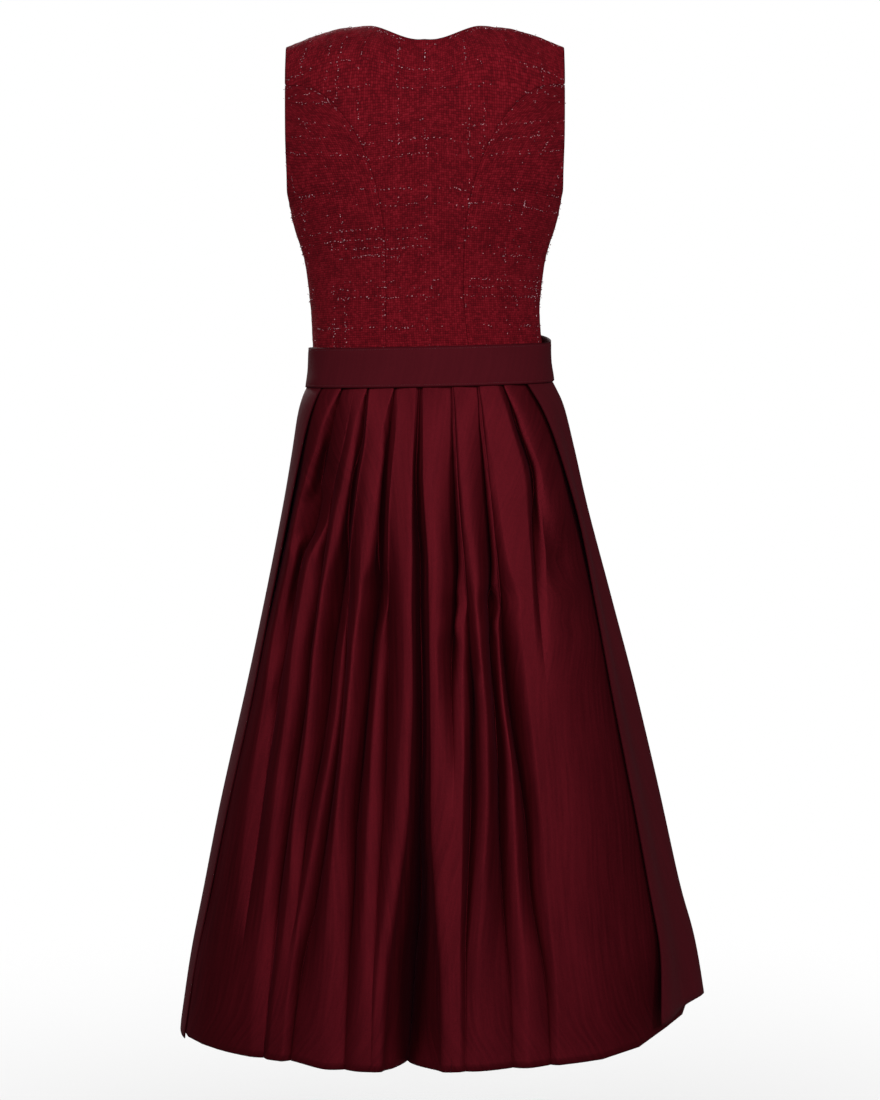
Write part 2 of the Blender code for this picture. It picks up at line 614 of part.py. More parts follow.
def tail_point(angle, drop, out):
    """A point over the apron; near the waist it keeps the bell's size at the tie's lower edge."""
    point = bell(angle, max(drop, GAP - TIE_BOTTOM), out)
    point.z = -drop
    return hang(point)


def build_tail(word, hand):
    """A tie's free end: it hangs from the knot, the right one over the left, and is cut on the slant."""
    outer, inner = [], []
    top = KNOT_SIZE[2] / 2 - KNOT_HEIGHT + GAP
    start, end = (KNOT_ANGLE + turn for turn in TAIL_TURN[word])
    for step in range(TAIL_ROWS):
        share = step / (TAIL_ROWS - 1)
        width = mix(TAIL_PINCH, TIE_WIDTH, ease(share / 0.25))
        near, far = [], []
        for across in ACROSS_TIE:
            drop = top + share * (TAIL_LENGTH[word] + hand * TAIL_SLANT * across)
            wave = TAIL_WAVE * math.sin(share * 9 + across * 2.2 + start)
            out = TAIL_OUT + (TAIL_LIFT[word] + wave) * ease(share / 0.2)
            angle = math.radians(mix(start, end, share)) + width * across / BELL.at("half", max(drop, 0.0))
            near.append(tail_point(angle, drop, out + TIE_CLOTH))
            far.append(tail_point(angle, drop, out))
        outer.append(near)
        inner.append(far)
    wall(f"apron_tail_{word}", outer, inner, APRON_RED, 0.55)


def build_bow():
    build_knot()
    for word, hand in (("left", 1), ("right", -1)):
        build_loop(word, hand)
        build_tail(word, hand)


for old in list(bpy.data.objects):
    bpy.data.objects.remove(old)
build_bodice()
build_skirt()
build_apron_panel()
build_bands()
build_bow()
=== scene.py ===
"""The dirndl of the photograph, dressed: tweed bodice, pleated satin skirt, and apron with its bow.

Lengths are in metres. The back faces -Y and the wearer's right is +X. An angle goes round the body from the
centre back and grows toward +X. A height is a way up from the waist seam, and a drop is a way down from it.
"""
import math

import bpy
import numpy as np
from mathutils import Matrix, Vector
from mathutils.kdtree import KDTree


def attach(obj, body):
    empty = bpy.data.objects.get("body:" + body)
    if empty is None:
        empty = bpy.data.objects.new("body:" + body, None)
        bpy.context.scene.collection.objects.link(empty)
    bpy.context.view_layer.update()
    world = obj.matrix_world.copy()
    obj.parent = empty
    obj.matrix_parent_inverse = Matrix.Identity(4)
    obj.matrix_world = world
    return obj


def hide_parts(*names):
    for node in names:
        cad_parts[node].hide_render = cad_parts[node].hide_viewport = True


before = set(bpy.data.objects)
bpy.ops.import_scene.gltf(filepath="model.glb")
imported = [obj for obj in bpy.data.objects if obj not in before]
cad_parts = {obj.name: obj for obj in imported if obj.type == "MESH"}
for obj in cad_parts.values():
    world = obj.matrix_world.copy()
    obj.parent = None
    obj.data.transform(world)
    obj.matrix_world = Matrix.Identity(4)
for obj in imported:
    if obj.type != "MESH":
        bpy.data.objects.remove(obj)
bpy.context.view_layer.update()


# Centre back of the bodice. One panel of red boucle tweed from the waist up to both shoulder seams, between
# two princess seams. It is sewn into the seams, and its neckline is turned in and pressed.

TWEED = 0.0018
SHOULDER_HEIGHT = 0.412
ORIGIN_HEIGHT = 0.400
NECK_HALF_WIDTH = 0.080
BACK_NECK_DEPTH = 0.034
BACK_NECK_START = 0.280
# How far the whole dress rises to the right for each metre across
TILT = 0.0215
# The gap between two sewn panels, how deep the cloth sinks beside it and over what reach, and how much less
# than a free edge a seam is darkened, partly by painted shade
SEAM_GAP, SEAM_SINK, SEAM_SOFTNESS, SEAM_PALER = 0.0003, 0.0006, 0.0022, 0.0012
# The lumps of the yarn and the soft swells of the cloth, with their sizes, and how near an edge each ends
BOUCLE_LUMP, BOUCLE_SIZE, PRESSED_BAND = 0.00028, 0.0042, 0.004
SWELL, SWELL_SIZE, HELD_BAND = 0.0009, 0.045, 0.03
# How far apart the mesh's points lie, the steps by which curves are measured, how round a shell's rim is,
# and what stands for a distance where there is no edge
MESH_PITCH, UP_STEPS, ACROSS_STEPS = 0.0024, 1500, 400
EDGE_BULGE, FAR_FROM_EDGE = 0.35, 1.0
BUST = {"depth": 0.018, "side": 0.085, "height": 0.170, "spread": 0.050}


class Table:
    """Rows of named columns, read between the rows by a cubic curve that never overshoots them."""

    def __init__(self, columns, rows):
        values = np.array(rows, float)
        self.key = values[:, 0]
        self.columns = {name: values[:, i] for i, name in enumerate(columns.split())}
        self.slopes = {name: steady_slopes(self.key, column) for name, column in self.columns.items()}

    def at(self, column, key):
        key = np.clip(key, self.key[0], self.key[-1])
        row = np.clip(np.searchsorted(self.key, key, side="right") - 1, 0, len(self.key) - 2)
        step = self.key[row + 1] - self.key[row]
        t = (key - self.key[row]) / step
        value, slope = self.columns[column], self.slopes[column]
        low = value[row] * (1 + 2 * t) * (1 - t) ** 2 + value[row + 1] * t * t * (3 - 2 * t)
        return low + step * t * (1 - t) * (slope[row] * (1 - t) - slope[row + 1] * t)


def steady_slopes(key, value):
    """Slopes at the rows for a cubic that keeps the rows' own rises and falls."""
    step = np.diff(key)
    rise = np.diff(value) / step
    slope = np.zeros_like(value)
    for i in range(1, len(key) - 1):
        if rise[i - 1] * rise[i] > 0:
            near, far = 2 * step[i] + step[i - 1], step[i] + 2 * step[i - 1]
            slope[i] = (near + far) / (near / rise[i - 1] + far / rise[i])
    slope[0], slope[-1] = rise[0], rise[-1]
    return slope


def mix(a, b, share):
    return a + (b - a) * share


def ease(share):
    """A soft start and end between 0 and 1."""
    share = np.clip(share, 0.0, 1.0)
    return share * share * (3 - 2 * share)


def ease_from(value, start, over):
    """The same for a value that starts somewhere and takes so much to end."""
    return ease((value - start) / over)


def unit(vectors):
    return vectors / np.maximum(np.linalg.norm(vectors, axis=-1, keepdims=True), 1e-12)


def stack(x, y, z):
    return np.stack(np.broadcast_arrays(x, y, z), axis=-1)


WIDTH = Table("height half", [
    (0.000, 0.1395), (0.060, 0.1388), (0.100, 0.1418), (0.133, 0.1462), (0.151, 0.1505), (0.170, 0.1562),
    (0.188, 0.1610), (0.206, 0.1642), (0.225, 0.1735), (0.250, 0.1790), (0.300, 0.1850), (0.360, 0.1878),
    (0.412, 0.1878)])
BACK = Table("height depth", [
    (0.000, 0.097), (0.100, 0.100), (0.200, 0.113), (0.280, 0.116), (0.340, 0.103), (0.375, 0.083),
    (0.400, 0.045), (0.408, 0.025), (0.412, 0.000)])
FRONT = Table("height depth", [
    (0.000, 0.095), (0.060, 0.098), (0.120, 0.108), (0.170, 0.118), (0.220, 0.112), (0.280, 0.090),
    (0.340, 0.060), (0.380, 0.035), (0.412, 0.000)])
MIDDLE = Table("height forward shift", [
    (0.000, 0.000, 0.0050), (0.040, 0.000, 0.0015), (0.080, 0.000, 0.0000), (0.200, 0.000, 0.0000),
    (0.340, -0.006, 0.0000), (0.412, -0.010, 0.0000)])
SHOULDER_RIDGE = Table("side height", [
    (0.000, 0.419), (0.080, 0.406), (0.100, 0.404), (0.120, 0.399), (0.136, 0.394), (0.151, 0.388),
    (0.169, 0.381)])
BACK_SEAM = Table("height side", [
    (0.000, 0.050), (0.100, 0.046), (0.160, 0.048), (0.200, 0.054), (0.240, 0.065), (0.280, 0.083),
    (0.310, 0.103), (0.335, 0.125), (0.350, 0.146), (0.360, 0.1675)])
BACK_ARMHOLE = Table("height angle", [
    (0.205, 90.0), (0.212, 80.0), (0.225, 73.0), (0.250, 68.0), (0.300, 64.5), (0.360, 62.8), (0.412, 62.8)])
BACK_SEAM_END = 0.360


def torso(angle, height):
    """Points of the bodice's outer face."""
    turn, facing = np.sin(angle), np.cos(angle)
    side = WIDTH.at("half", height) * turn
    depth = np.where(facing > 0, BACK.at("depth", height), FRONT.at("depth", height))
    y = MIDDLE.at("forward", height) - depth * facing
    away = ((abs(side) - BUST["side"]) ** 2 + (height - BUST["height"]) ** 2) / (2 * BUST["spread"] ** 2)
    y = y + np.where(facing < 0, BUST["depth"] * np.exp(-away) * (1 - turn ** 4), 0.0)
    up = height * SHOULDER_RIDGE.at("height", abs(side)) / SHOULDER_HEIGHT
    up = up + TILT * side * (1 - height / SHOULDER_HEIGHT)
    return stack(side + MIDDLE.at("shift", height), y, up - ORIGIN_HEIGHT)


def angle_of(side, height):
    """The angle at which the bodice's outline is so far to the side, on its back half."""
    return np.arcsin(np.clip(side / WIDTH.at("half", height), -1.0, 1.0))


def seam_inset(table, height):
    """Half the seam's gap, measured sideways on a seam that slants."""
    rise = 0.001
    slope = (table.at("side", height + rise) - table.at("side", height - rise)) / (2 * rise)
    return SEAM_GAP / 2 * np.hypot(1.0, slope)


def lowered_neck(angle, height):
    """The back's upper part is lowered round the neck, so that its top edge is the neckline."""
    side = WIDTH.at("half", height) * np.sin(angle)
    span = np.minimum(abs(side) / NECK_HALF_WIDTH, 1.0)
    dip = BACK_NECK_DEPTH * (1 + np.cos(np.pi * span)) / 2
    height = height - dip * ease((height - BACK_NECK_START) / (SHOULDER_HEIGHT - BACK_NECK_START))
    return angle_of(side, height), height


def grid_normals(points):
    """Directions square to a grid, on the side that looks away from the body's axis."""
    normals = unit(np.cross(np.gradient(points, axis=1), np.gradient(points, axis=0)))
    return normals * (1 if np.sum(normals * points * (1, 1, 0)) > 0 else -1)


def run_length(points, axis):
    """How far each point of a grid lies along its row or column."""
    steps = np.linalg.norm(np.diff(points, axis=axis), axis=-1)
    start = np.zeros_like(np.take(steps, [0], axis=axis))
    return np.cumsum(np.concatenate([start, steps], axis=axis), axis=axis)


def cloth_map(points, still):
    """Flat cloth coordinates of a grid: across from the column that lies on the grain, and along it."""
    across = run_length(points, 1)
    along = run_length(points, 0)[:, still]
    return across - across[:, [still]], np.broadcast_to(along[:, None], across.shape)


def nearest(points, lines):
    """Each grid point's distance to the nearest of some points."""
    if not len(lines):
        return np.full(points.shape[:2], FAR_FROM_EDGE)
    tree = KDTree(len(lines))
    for number, point in enumerate(lines):
        tree.insert(point, number)
    tree.balance()
    found = [tree.find(point)[2] for point in points.reshape(-1, 3)]
    return np.array(found).reshape(points.shape[:2])


def lumps(across, along, size, seed):
    """Soft random lumps from -1 to 1 on the flat cloth, as large as a yarn."""
    values = np.random.default_rng(seed).uniform(-1, 1, (256, 256))
    x, y = across / size, along / size
    i, j = np.floor(x).astype(int), np.floor(y).astype(int)
    u, v = ease(x - i), ease(y - j)
    low = mix(values[i % 256, j % 256], values[(i + 1) % 256, j % 256], u)
    high = mix(values[i % 256, (j + 1) % 256], values[(i + 1) % 256, (j + 1) % 256], u)
    return mix(low, high, v)


def new_object(name, data):
    made = bpy.data.objects.new(name, data)
    bpy.context.scene.collection.objects.link(made)
    return made


def cloth_piece(name, spots, faces, flat, from_edge, material):
    """A piece with the cloth's flat map, and with each point's distance from the nearest edge or seam."""
    mesh = bpy.data.meshes.new(name)
    mesh.from_pydata(spots, [], faces)
    corners = np.zeros(len(mesh.loops), int)
    mesh.loops.foreach_get("vertex_index", corners)
    mesh.uv_layers.new(name="cloth").data.foreach_set("uv", flat[corners].astype(np.float32).ravel())
    mesh.attributes.new("edge", "FLOAT", "POINT").data.foreach_set("value", from_edge.astype(np.float32))
    mesh.shade_smooth()
    mesh.materials.append(material)
    return new_object(name, mesh)


def face_sides(outer, normals):
    """The faces' own directions and the wanted ones, to tell which way round the corners go."""
    one, two = outer[1:, 1:] - outer[:-1, :-1], outer[1:, :-1] - outer[:-1, 1:]
    return np.cross(one, two).reshape(-1, 3), normals[:-1, :-1].reshape(-1, 3)


def cloth_shell(name, outer, thickness, material, flat_map, edge, normals=None):
    """A closed shell of cloth on a grid of outer points, with rounded edges and its flat map on it."""
    rows, columns = outer.shape[:2]
    normals = grid_normals(outer) if normals is None else normals
    thick = np.broadcast_to(thickness, (rows, columns))[..., None]
    inner = outer - normals * thick
    rim = [(0, j) for j in range(columns)] + [(i, columns - 1) for i in range(1, rows)]
    rim += [(rows - 1, j) for j in range(columns - 2, -1, -1)] + [(i, 0) for i in range(rows - 2, 0, -1)]
    rim = np.array(rim)
    step_in = np.clip(rim, 1, [rows - 2, columns - 2])
    outward = unit(outer[rim[:, 0], rim[:, 1]] - outer[step_in[:, 0], step_in[:, 1]])
    middle = (outer + inner)[rim[:, 0], rim[:, 1]] / 2 + outward * thick[rim[:, 0], rim[:, 1]] * EDGE_BULGE
    index = np.arange(rows * columns).reshape(rows, columns)
    quads = np.stack([index[:-1, :-1], index[:-1, 1:], index[1:, 1:], index[1:, :-1]], axis=-1).reshape(-1, 4)
    ring = index[rim[:, 0], rim[:, 1]]
    between = 2 * rows * columns + np.arange(len(rim))
    following = np.roll(np.arange(len(rim)), -1)
    back = ring + rows * columns
    bands = [np.stack([ring[following], ring, between, between[following]], axis=-1),
             np.stack([between[following], between, back, back[following]], axis=-1)]
    faces = np.concatenate([quads, quads[:, ::-1] + rows * columns] + bands)
    if np.einsum("ij,ij->", *face_sides(outer, normals)) < 0:
        faces = faces[:, ::-1]
    spots = np.concatenate([outer.reshape(-1, 3), inner.reshape(-1, 3), middle])
    across, along, from_edge = (np.concatenate([part.ravel(), part.ravel(), part[rim[:, 0], rim[:, 1]]])
                                for part in (*flat_map, edge))
    return cloth_piece(name, spots.tolist(), faces.tolist(), np.stack([across, along], axis=-1), from_edge,
                       material)


def node(tree, kind, inputs=None, **settings):
    """A node with its settings and its inputs, which are values or other nodes' outputs."""
    made = tree.nodes.new(kind)
    for key, value in settings.items():
        setattr(made, key, value)
    for key, value in (inputs or {}).items():
        if isinstance(value, bpy.types.NodeSocket):
            tree.links.new(value, made.inputs[key])
        else:
            made.inputs[key].default_value = value
    return made


def sums(tree, operation, *values):
    made = tree.nodes.new("ShaderNodeMath")
    made.operation = operation
    for number, value in enumerate(values):
        if isinstance(value, bpy.types.NodeSocket):
            tree.links.new(value, made.inputs[number])
        else:
            made.inputs[number].default_value = value
    return made.outputs[0]


def new_group(name, inputs, outputs):
    """An empty shader group with named inputs and outputs."""
    tree = bpy.data.node_groups.new(name, "ShaderNodeTree")
    for title, kind, value in inputs:
        socket = tree.interface.new_socket(title, in_out="INPUT", socket_type=kind)
        if value is not None:
            socket.default_value = value
    for title, kind in outputs:
        tree.interface.new_socket(title, in_out="OUTPUT", socket_type=kind)
    return tree, tree.nodes.new("NodeGroupInput").outputs, tree.nodes.new("NodeGroupOutput").inputs


def woven_group():
    """A plain weave: yarns that pass over and under each other, each crossing with its own random value."""
    tree, given, result = new_group(
        "Woven yarns",
        [("Cloth", "NodeSocketVector", None), ("Across pitch", "NodeSocketFloat", 0.003),
         ("Along pitch", "NodeSocketFloat", 0.003), ("Wander", "NodeSocketFloat", 0.0005)],
        [("Height", "NodeSocketFloat"), ("Crossing", "NodeSocketFloat"), ("Warp on top", "NodeSocketFloat")])
    noise = node(tree, "ShaderNodeTexNoise", {"Vector": given["Cloth"], "Scale": 160.0, "Detail": 2.0})
    centred = node(tree, "ShaderNodeVectorMath", {0: noise.outputs["Color"], 1: (0.5, 0.5, 0.5)},
                   operation="SUBTRACT")
    shift = node(tree, "ShaderNodeVectorMath", {0: centred.outputs[0], "Scale": given["Wander"]},
                 operation="SCALE")
    moved = node(tree, "ShaderNodeVectorMath", {0: given["Cloth"], 1: shift.outputs[0]})
    parts = node(tree, "ShaderNodeSeparateXYZ", {0: moved.outputs[0]}).outputs
    x = sums(tree, "DIVIDE", parts[0], given["Across pitch"])
    y = sums(tree, "DIVIDE", parts[1], given["Along pitch"])
    column, row = sums(tree, "FLOOR", x), sums(tree, "FLOOR", y)
    top = sums(tree, "PINGPONG", sums(tree, "ADD", column, row), 1.0)
    round_x = sums(tree, "SINE", sums(tree, "MULTIPLY", sums(tree, "FRACT", x), math.pi))
    round_y = sums(tree, "SINE", sums(tree, "MULTIPLY", sums(tree, "FRACT", y), math.pi))
    warp, weft = (sums(tree, "MULTIPLY", sums(tree, "POWER", across_it, 0.6),
                       sums(tree, "MULTIPLY_ADD", along_it, 0.5, 0.5))
                  for across_it, along_it in ((round_x, round_y), (round_y, round_x)))
    height = node(tree, "ShaderNodeMix", {"Factor": top, "A": weft, "B": warp}, data_type="FLOAT")
    cell = node(tree, "ShaderNodeCombineXYZ", {0: column, 1: row})
    dice = node(tree, "ShaderNodeTexWhiteNoise", {"Vector": cell.outputs[0]}, noise_dimensions="2D")
    tree.links.new(height.outputs["Result"], result["Height"])
    tree.links.new(dice.outputs["Value"], result["Crossing"])
    tree.links.new(top, result["Warp on top"])
    return tree


def pressed_shade_group():
    """A colour that darkens along a pressed or sewn edge: partly the cloth's own darker double layer, partly
    painted shade at the turn and in the seam.
    """
    tree, given, result = new_group(
        "Pressed edge and painted shade",
        [("Colour", "NodeSocketColor", (1, 1, 1, 1)), ("Reach", "NodeSocketFloat", 0.002),
         ("Darkness", "NodeSocketFloat", 0.5)],
        [("Colour", "NodeSocketColor")])
    edge = node(tree, "ShaderNodeAttribute", attribute_name="edge")
    near = node(tree, "ShaderNodeMapRange", {"Value": edge.outputs["Fac"], "From Min": 0.0,
                                             "From Max": given["Reach"], "To Min": 1.0, "To Max": 0.0},
                interpolation_type="SMOOTHSTEP")
    keep = sums(tree, "SUBTRACT", 1.0, sums(tree, "MULTIPLY", near.outputs[0], given["Darkness"]))
    scaled = node(tree, "ShaderNodeVectorMath", {0: given["Colour"], "Scale": keep}, operation="SCALE")
    tree.links.new(scaled.outputs[0], result["Colour"])
    return tree


WOVEN = woven_group()
PRESSED_SHADE = pressed_shade_group()


def new_material(name):
    material = bpy.data.materials.new(name)
    material.use_nodes = True
    tree = material.node_tree
    return material, tree, tree.nodes["Principled BSDF"]


def set_shader(shader, **values):
    """Plain values on the shader's own sockets, each named with a low line for a space."""
    for key, value in values.items():
        shader.inputs[key.replace("_", " ")].default_value = value


def ramp(tree, factor, stops):
    """Colours between named places from 0 to 1."""
    made = node(tree, "ShaderNodeValToRGB", {"Fac": factor})
    while len(made.color_ramp.elements) < len(stops):
        made.color_ramp.elements.new(0.5)
    for element, (place, colour) in zip(made.color_ramp.elements, stops):
        element.position = place
        element.color = (*colour, 1.0)
    return made.outputs["Color"]


def tweed_material():
    """Red boucle tweed: thick uneven yarns, some darker and some lighter, painted shade where the weave dips,
    and a soft nap.
    """
    material, tree, shader = new_material("boucle_tweed")
    cloth = node(tree, "ShaderNodeUVMap", uv_map="cloth").outputs[0]
    weave = node(tree, "ShaderNodeGroup", {"Cloth": cloth, "Across pitch": 0.0029, "Along pitch": 0.0027,
                                           "Wander": 0.0032}, node_tree=WOVEN)
    fuzz = node(tree, "ShaderNodeTexNoise", {"Vector": cloth, "Scale": 900.0, "Detail": 3.0,
                                             "Roughness": 0.7})
    patch = node(tree, "ShaderNodeTexNoise", {"Vector": cloth, "Scale": 45.0, "Detail": 3.0})
    height = sums(tree, "ADD", weave.outputs["Height"], sums(tree, "MULTIPLY", fuzz.outputs["Fac"], 0.7))
    # Random yarn tones, with painted shade from the weave's height: its low places darker, its raised yarns
    # lighter
    yarn_tone_and_shade = sums(tree, "MULTIPLY_ADD", weave.outputs["Height"], 0.42,
                 sums(tree, "MULTIPLY_ADD", weave.outputs["Crossing"], 0.34,
                      sums(tree, "MULTIPLY", patch.outputs["Fac"], 0.40)))
    colour = ramp(tree, yarn_tone_and_shade, [(0.10, (0.030, 0.0022, 0.0040)), (0.38, (0.088, 0.0042, 0.0078)),
                                (0.62, (0.150, 0.0050, 0.0100)), (0.95, (0.250, 0.0110, 0.0200))])
    # Darkening along edges and seams: partly the double cloth's own tone, partly painted shade
    pressed = node(tree, "ShaderNodeGroup", {"Colour": colour, "Reach": 0.0022, "Darkness": 0.62},
                   node_tree=PRESSED_SHADE)
    tree.links.new(pressed.outputs["Colour"], shader.inputs["Base Color"])
    bump = node(tree, "ShaderNodeBump", {"Height": height, "Strength": 0.9, "Distance": 0.0007})
    tree.links.new(bump.outputs[0], shader.inputs["Normal"])
    set_shader(shader, Roughness=0.85, Specular_IOR_Level=0.10, Specular_Tint=(0.80, 0.20, 0.25, 1.0),
               Sheen_Weight=0.08, Sheen_Roughness=0.45, Sheen_Tint=(0.60, 0.05, 0.08, 1.0))
    return material


TWEED_RED = tweed_material()


def even_shares(line, pitch):
    """Shares of a line's keys at which points on it are evenly spaced, about a pitch apart."""
    key, points = line
    length = run_length(points, 0)
    count = max(int(round(length[-1] / pitch)), 2)
    return np.interp(np.linspace(0, length[-1], count + 1), length, key)


def tweed_panel(name, node_name, edges, top, grain, seams, place=None, slant=None, seam_shift=0.0):
    """One panel between two edges given as angles for each height, with lumps and with sunken seams."""
    keys = np.linspace(0.0, top, UP_STEPS)
    first, last = edges(keys)
    heights = even_shares((keys, torso(mix(first, last, 0.4), keys)), MESH_PITCH)
    first, last = edges(heights)
    widest = np.argmax(abs(last - first))
    tries = np.linspace(0, 1, ACROSS_STEPS)
    across_widest = torso(mix(first[widest], last[widest], tries), heights[widest])
    shares = even_shares((tries, across_widest), MESH_PITCH)
    angle = first[:, None] + (last - first)[:, None] * shares
    height = np.broadcast_to(heights[:, None], angle.shape)
    if place:
        angle, height = place(angle, height)
    points = torso(angle, height)
    if top == SHOULDER_HEIGHT:
        points[-1, :, 1] += seam_shift
    points[0, :, 2] += SEAM_GAP / 2
    normals = grid_normals(points)
    if top == SHOULDER_HEIGHT:
        normals[-1] = unit(normals[-1] * (1, 0, 1))
    border = {"bottom": points[0], "top": points[-1], "first": points[:, 0], "last": points[:, -1]}
    sewn, finished = [], []
    for side, line in border.items():
        for spot, is_sewn in zip(line, seams(side, line, heights)):
            (sewn if is_sewn else finished).append(spot)
    to_seam, to_edge = nearest(points, sewn), nearest(points, finished)
    across, along = cloth_map(points, int(grain * (points.shape[1] - 1)))
    if slant:
        along = along + slant(across, heights[:, None])
    quiet = ease(np.minimum(to_seam, to_edge) / PRESSED_BAND)
    sink = SEAM_SINK * np.exp(-(to_seam / SEAM_SOFTNESS) ** 2)
    bump = BOUCLE_LUMP * quiet * lumps(across, along, BOUCLE_SIZE, 7)
    soft = ease(to_seam / HELD_BAND) * ease(to_edge / HELD_BAND) * lumps(across, along * 0.6, SWELL_SIZE, 3)
    outer = points + normals * (bump + SWELL * soft - sink)[..., None]
    # Seams take the edge's darkening too, partly painted shade, a little less than a free edge
    edge = np.minimum(to_edge, to_seam + SEAM_PALER)
    piece = cloth_shell(name, outer, TWEED, TWEED_RED, (across, along), edge, normals)
    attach(piece, "root")
    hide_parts(node_name)
    return piece, (outer, normals, across, along)


def back_edges(height):
    seam = angle_of(BACK_SEAM.at("side", height) - seam_inset(BACK_SEAM, height), height)
    edge = np.where(height <= BACK_SEAM_END, seam, np.radians(BACK_ARMHOLE.at("angle", height)))
    return -edge, edge


def back_seams(side, line, heights):
    """Sewn all round but for the neckline and the armholes above the princess seams."""
    if side == "top":
        return abs(line[:, 0]) > NECK_HALF_WIDTH
    if side == "bottom":
        return np.full(len(line), True)
    return heights <= BACK_SEAM_END


tweed_grids = {}
piece, tweed_grids["back"] = tweed_panel(
    "tweed_back", "bodice_back", back_edges, SHOULDER_HEIGHT, 0.5, back_seams, place=lowered_neck,
    seam_shift=-SEAM_GAP / 2)


# Side and front panels of the bodice. Two side backs, two side fronts and two fronts of the same tweed, sewn
# together by princess, side and shoulder seams. The fronts meet edge to edge over hidden hooks.

FRONT_NECK_BOTTOM = 0.260
UNDERARM_HEIGHT = 0.205
FRONT_SEAM_END = 0.2945
FRONT_SEAM = Table("height side", [
    (0.000, 0.052), (0.060, 0.062), (0.120, 0.080), (0.170, 0.092), (0.210, 0.100), (0.250, 0.118),
    (0.280, 0.140), (0.295, 0.156)])
FRONT_ARMHOLE = Table("height angle", [
    (0.205, 90.0), (0.215, 100.0), (0.240, 112.0), (0.280, 121.0), (0.320, 124.0), (0.360, 122.0),
    (0.412, 117.2)])


def side_back_edges(height, hand):
    seam = angle_of(BACK_SEAM.at("side", height) + seam_inset(BACK_SEAM, height), height)
    edge = np.radians(BACK_ARMHOLE.at("angle", height)) - SEAM_GAP / 2 / BACK.at("depth", height)
    return hand * seam, hand * np.maximum(edge, seam + 0.001)


def side_front_edges(height, hand):
    seam = angle_of(FRONT_SEAM.at("side", height) + seam_inset(FRONT_SEAM, height), height)
    edge = np.radians(FRONT_ARMHOLE.at("angle", height)) + SEAM_GAP / 2 / FRONT.at("depth", height)
    return hand * np.maximum(np.pi - seam, edge + 0.001), hand * edge


def front_edges(height, hand):
    reach = np.minimum((SHOULDER_HEIGHT - height) / (SHOULDER_HEIGHT - FRONT_NECK_BOTTOM), 1.0)
    neck = NECK_HALF_WIDTH * np.sqrt(1 - reach * reach)
    centre = np.pi - angle_of(np.maximum(neck, SEAM_GAP / 2), height)
    seam = np.pi - angle_of(FRONT_SEAM.at("side", height) - seam_inset(FRONT_SEAM, height), height)
    edge = np.where(height <= FRONT_SEAM_END, seam, np.radians(FRONT_ARMHOLE.at("angle", height)))
    return hand * centre, hand * edge


def side_seams(side, line, heights):
    """A side panel is sewn all round but for its armhole edge."""
    if side == "last":
        return heights <= UNDERARM_HEIGHT
    return np.full(len(line), True)


def front_seams(side, line, heights):
    """A front panel has a free centre edge and neckline, and a free armhole above its princess seam."""
    if side == "first":
        return np.full(len(line), False)
    if side == "last":
        return heights <= FRONT_SEAM_END
    return np.full(len(line), True)


def weft_rise(across, height):
    """The side back is cut so that its weft rises toward the seam near the armhole."""
    return -0.42 * ease((height - 0.20) / 0.13) * abs(across)


for hand, word in ((-1, "left"), (1, "right")):
    piece, tweed_grids[f"side_back_{word}"] = tweed_panel(
        f"tweed_side_back_{word}", f"bodice_side_back_{word}", lambda h: side_back_edges(h, hand),
        BACK_SEAM_END, 0.0, side_seams, slant=weft_rise)
    piece, tweed_grids[f"side_front_{word}"] = tweed_panel(
        f"tweed_side_front_{word}", f"bodice_side_front_{word}", lambda h: side_front_edges(h, hand),
        FRONT_SEAM_END, 0.0, side_seams)
    piece, tweed_grids[f"front_{word}"] = tweed_panel(
        f"tweed_front_{word}", f"bodice_front_{word}", lambda h: front_edges(h, hand),
        SHOULDER_HEIGHT, 0.0, front_seams, seam_shift=SEAM_GAP / 2)


# Glitter yarn. A thin silvery rose metallic thread is woven into the tweed in an open, uneven window-pane.
# It floats over the boucle here and there and catches the light in short bright bits.

WARP_PLACES = (-0.158, -0.121, -0.106, -0.079, -0.031, 0.002, 0.053, 0.071, 0.112, 0.149)
WEFT_PLACES = (0.022, 0.047, 0.083, 0.093, 0.102, 0.132, 0.142, 0.152, 0.165, 0.193, 0.212, 0.251, 0.269,
               0.290, 0.328, 0.349, 0.385)
THREAD_LIFT = 0.0003
SHORTEST_LINE = 4


